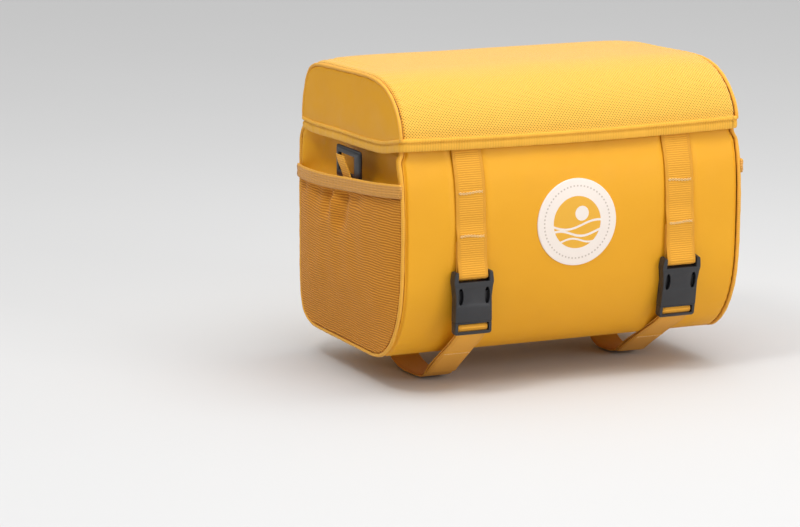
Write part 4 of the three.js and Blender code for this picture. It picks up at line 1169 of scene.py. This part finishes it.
def buckle_latch():
    """The lower half: rails, foot, lock bar, shoulder, key and two prongs, in its own frame."""
    low, deep = -BUCKLE_LENGTH / 2, BUCKLE_THICKNESS / 2 - 0.4
    body, slot = BUCKLE_BODY / 2, BUCKLE_SLOT / 2
    shoulder = BUCKLE_MOUTH - 0.3
    under = shoulder - SHOULDER
    piece = cube_between("latch", (-body, -deep, low), (body, deep, shoulder))
    round_edges(piece, lambda place: place.z < low + 1, 3.0, 5)
    window = cube_between("window", (-slot, -THROUGH, low + FOOT_BAR), (slot, THROUGH, under))
    combine(piece, "DIFFERENCE", window)
    combine(piece, "DIFFERENCE", cube_between("way", (-slot, -deep + 2, low - 1), (slot, THROUGH, under)))
    combine(piece, "UNION", cross_bar("lock", slot, LOCK_BAR_Z, LOCK_BAR))
    thick = BUCKLE_THICKNESS / 2 - BUCKLE_WALL - 0.6
    combine(piece, "UNION", cube_between("key", (-2.5, -thick, shoulder - 1), (2.5, thick, 7)))
    front = 0.4 - thick / 2
    for sign in SIGNS.values():
        inner, outer = sorted((sign * PRONG[0], sign * PRONG[1]))
        arm = cube_between("arm", (inner, front, shoulder - 1), (outer, thick, 10.6))
        inner, outer = sorted((sign * PRESS[0], sign * PRESS[1]))
        press = cube_between("press", (inner, front, -0.8), (outer, thick, 9.4))
        round_edges(press, lambda place: abs(place.x) > 14, 1.3, 4)
        combine(piece, "UNION", arm, press)
    soften(piece, 0.4)
    return piece


def placed_copy(piece, name, side):
    """A copy with its own mesh, turned and moved into a side's buckle frame."""
    tilt, y, z = buckle_frame(side)
    copy = piece.copy()
    copy.data = piece.data.copy()
    bpy.context.scene.collection.objects.link(copy)
    copy.rotation_euler = (tilt, 0, 0)
    copy.location = (SIGNS[side] * size("strap_place") * MM, y * MM, z * MM)
    return settled(copy, name)


def end_frame(side):
    """The moulded frame on an end, with one window and soft corners."""
    low, high = np.array(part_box(f"{side}_side_clip")) / MM - [SIGNS[side] * FRAME_TUCK, 0, 0]
    piece = cube_between(f"{side}_end_frame", low, high)

    def at_corner(place):
        return all(min(abs(place[i] - low[i]), abs(place[i] - high[i])) < 0.1 for i in (1, 2))

    round_edges(piece, at_corner, 2.6, 5)
    combine(piece, "DIFFERENCE", cube_between("hole", low + [-5, 12, 6], high + [5, -6, -6]))
    soften(piece, 0.7)
    finish_piece(piece, "moulded_acetal", "black_acetal", f"{side}_side_clip")


def badge_patch():
    """The round patch, which follows the front panel's curve and has a soft edge."""
    reaches = np.append(np.linspace(0.02, 0.97, 30), [0.985, 0.995, 1.0, 1.0])[:, None] * size("badge") / 2
    lifts = np.append(np.full(31, 1.3), [1.22, 1.0, 0.3])[:, None]
    x, up = reaches * np.cos(ring(96)), reaches * np.sin(ring(96))
    points = grid(x, *on_panel(body_front(), x, BADGE_MIDDLE * size("body_height") + up, lifts))
    loops = np.concatenate([points, points[-1:] + [0, 0.6, 0]])
    uv = grid(x, up)
    piece = swept("badge_patch", loops, np.concatenate([uv, uv[-1:]]))
    finish_piece(piece, "printed_patch", "badge_print", "badge")


# Operators

class BAG_OT_body(bpy.types.Operator):
    """Sew the body: one sheet for front, bottom and back, two ends and their covered cords"""
    bl_idname = "bag.body"
    bl_label = "Body"

    def execute(self, context):
        for side in SIGNS:
            cord_bead(side, "seam_cord", "seam_piping", body_outline(), body_half_width, SEAM_CORD)
        body_cloth()
        for side in SIGNS:
            end_cloth(side)
        return {"FINISHED"}


class BAG_OT_pockets(bpy.types.Operator):
    """Hang a stretch pocket with a folded elastic hem on each end"""
    bl_idname = "bag.pockets"
    bl_label = "Pockets"

    def execute(self, context):
        for side in SIGNS:
            pocket_elastic(side)
            pocket_knit(side)
        return {"FINISHED"}


class BAG_OT_lid(bpy.types.Operator):
    """Make the padded lid: its sheet, ends, covered cords and the folded tape of its hem"""
    bl_idname = "bag.lid"
    bl_label = "Lid"

    def execute(self, context):
        lid_binding()
        lid_cloth()
        for side in SIGNS:
            lid_end_cloth(side)
            cord_bead(side, "lid_cord", "lid_piping", lid_outline(), lid_half_width, LID_CORD)
        return {"FINISHED"}


class BAG_OT_straps(bpy.types.Operator):
    """Lay the webbing: two front straps, two lower straps and the tabs on the ends"""
    bl_idname = "bag.straps"
    bl_label = "Straps"

    def execute(self, context):
        for side in SIGNS:
            upper_strap(side)
            lower_strap(side)
            side_tab(side)
        return {"FINISHED"}


class BAG_OT_buckles(bpy.types.Operator):
    """Mould the side-release buckles, each half once, and copy them to both straps"""
    bl_idname = "bag.buckles"
    bl_label = "Buckles"

    def execute(self, context):
        for part, make in (("socket", buckle_socket), ("latch", buckle_latch)):
            first = make()
            for side in SIGNS:
                piece = placed_copy(first, f"{side}_moulded_{part}", side)
                finish_piece(piece, "moulded_acetal", "black_acetal", f"{side}_buckle_{part}")
            bpy.data.objects.remove(first)
        return {"FINISHED"}


class BAG_OT_trim(bpy.types.Operator):
    """Add the moulded end frames and the printed patch"""
    bl_idname = "bag.trim"
    bl_label = "Trim"

    def execute(self, context):
        for side in SIGNS:
            end_frame(side)
        badge_patch()
        return {"FINISHED"}


class BAG_OT_stage(bpy.types.Operator):
    """Set up the pale floor, the soft lights and the camera"""
    bl_idname = "bag.stage"
    bl_label = "Stage"

    def execute(self, context):
        scene = context.scene
        bpy.ops.mesh.primitive_plane_add(size=8, location=(0, 0, FLOOR_Z))
        floor = settled(context.object, "pale_floor")
        floor.data.materials.append(material("painted_board"))
        scene.world = self.soft_dome()
        scene.view_settings.view_transform = "Standard"
        for name, (place, aim, width, power) in LAMPS.items():
            light = bpy.data.lights.new(name, "AREA")
            light.shape, light.size, light.energy = "SQUARE", width, power
            self.aimed(scene, name, light, place, Vector(aim) - Vector(place))
        # The camera that the photograph's edges and straps were fitted to
        turn, rise = math.radians(CAMERA_TURN), math.radians(CAMERA_RISE)
        forward = (math.sin(turn) * math.cos(rise), math.cos(turn) * math.cos(rise), -math.sin(rise))
        data = bpy.data.cameras.new("camera")
        data.lens, data.sensor_width, data.clip_end = CAMERA_LENS, 36, 20
        scene.camera = self.aimed(scene, "camera", data, CAMERA_PLACE, Vector(forward))
        return {"FINISHED"}

    def aimed(self, scene, name, data, place, forward):
        """A lamp or a camera at a place, facing a direction."""
        thing = bpy.data.objects.new(name, data)
        thing.location = place
        thing.rotation_euler = forward.to_track_quat("-Z", "Y").to_euler()
        scene.collection.objects.link(thing)
        return thing

    def soft_dome(self):
        """White light from all round that is strongest from above."""
        world = bpy.data.worlds.new("soft_dome")
        world.use_nodes = True
        tree = world.node_tree
        towards = add_node(tree, "ShaderNodeTexCoord").outputs["Generated"]
        height = add_node(tree, "ShaderNodeSeparateXYZ", {"Vector": towards}).outputs["Z"]
        rise = add_node(tree, "ShaderNodeMapRange", {0: height, 1: 0.08, 2: 0.95, 3: 0.08, 4: 1.18})
        tree.links.new(rise.outputs[0], tree.nodes["Background"].inputs["Strength"])
        tree.nodes["Background"].inputs["Color"].default_value = (1, 1, 1, 1)
        return world


class BAG_PT_panel(bpy.types.Panel):
    """Sizes, colours and the steps that make the bag"""
    bl_label = "Bag"
    bl_idname = "BAG_PT_panel"
    bl_space_type = "VIEW_3D"
    bl_region_type = "UI"
    bl_category = "Bag"

    def draw(self, context):
        for settings in (context.scene.bag_sizes, context.scene.bag_colours):
            for name in settings.__annotations__:
                self.layout.prop(settings, name)
        for operator in OPERATORS:
            self.layout.operator(operator.bl_idname)


OPERATORS = [BAG_OT_body, BAG_OT_pockets, BAG_OT_lid, BAG_OT_straps, BAG_OT_buckles, BAG_OT_trim,
             BAG_OT_stage]
CLASSES = [BagSizes, BagColours, *OPERATORS, BAG_PT_panel]


def register():
    for each in CLASSES:
        bpy.utils.register_class(each)
    bpy.types.Scene.bag_sizes = PointerProperty(type=BagSizes)
    bpy.types.Scene.bag_colours = PointerProperty(type=BagColours)


def unregister():
    del bpy.types.Scene.bag_colours
    del bpy.types.Scene.bag_sizes
    for each in reversed(CLASSES):
        bpy.utils.unregister_class(each)


def main():
    register()
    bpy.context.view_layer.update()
    bpy.ops.bag.body()
    bpy.ops.bag.pockets()
    bpy.ops.bag.lid()
    bpy.ops.bag.straps()
    bpy.ops.bag.buckles()
    bpy.ops.bag.trim()
    bpy.ops.bag.stage()


if __name__ == "__main__":
    main()
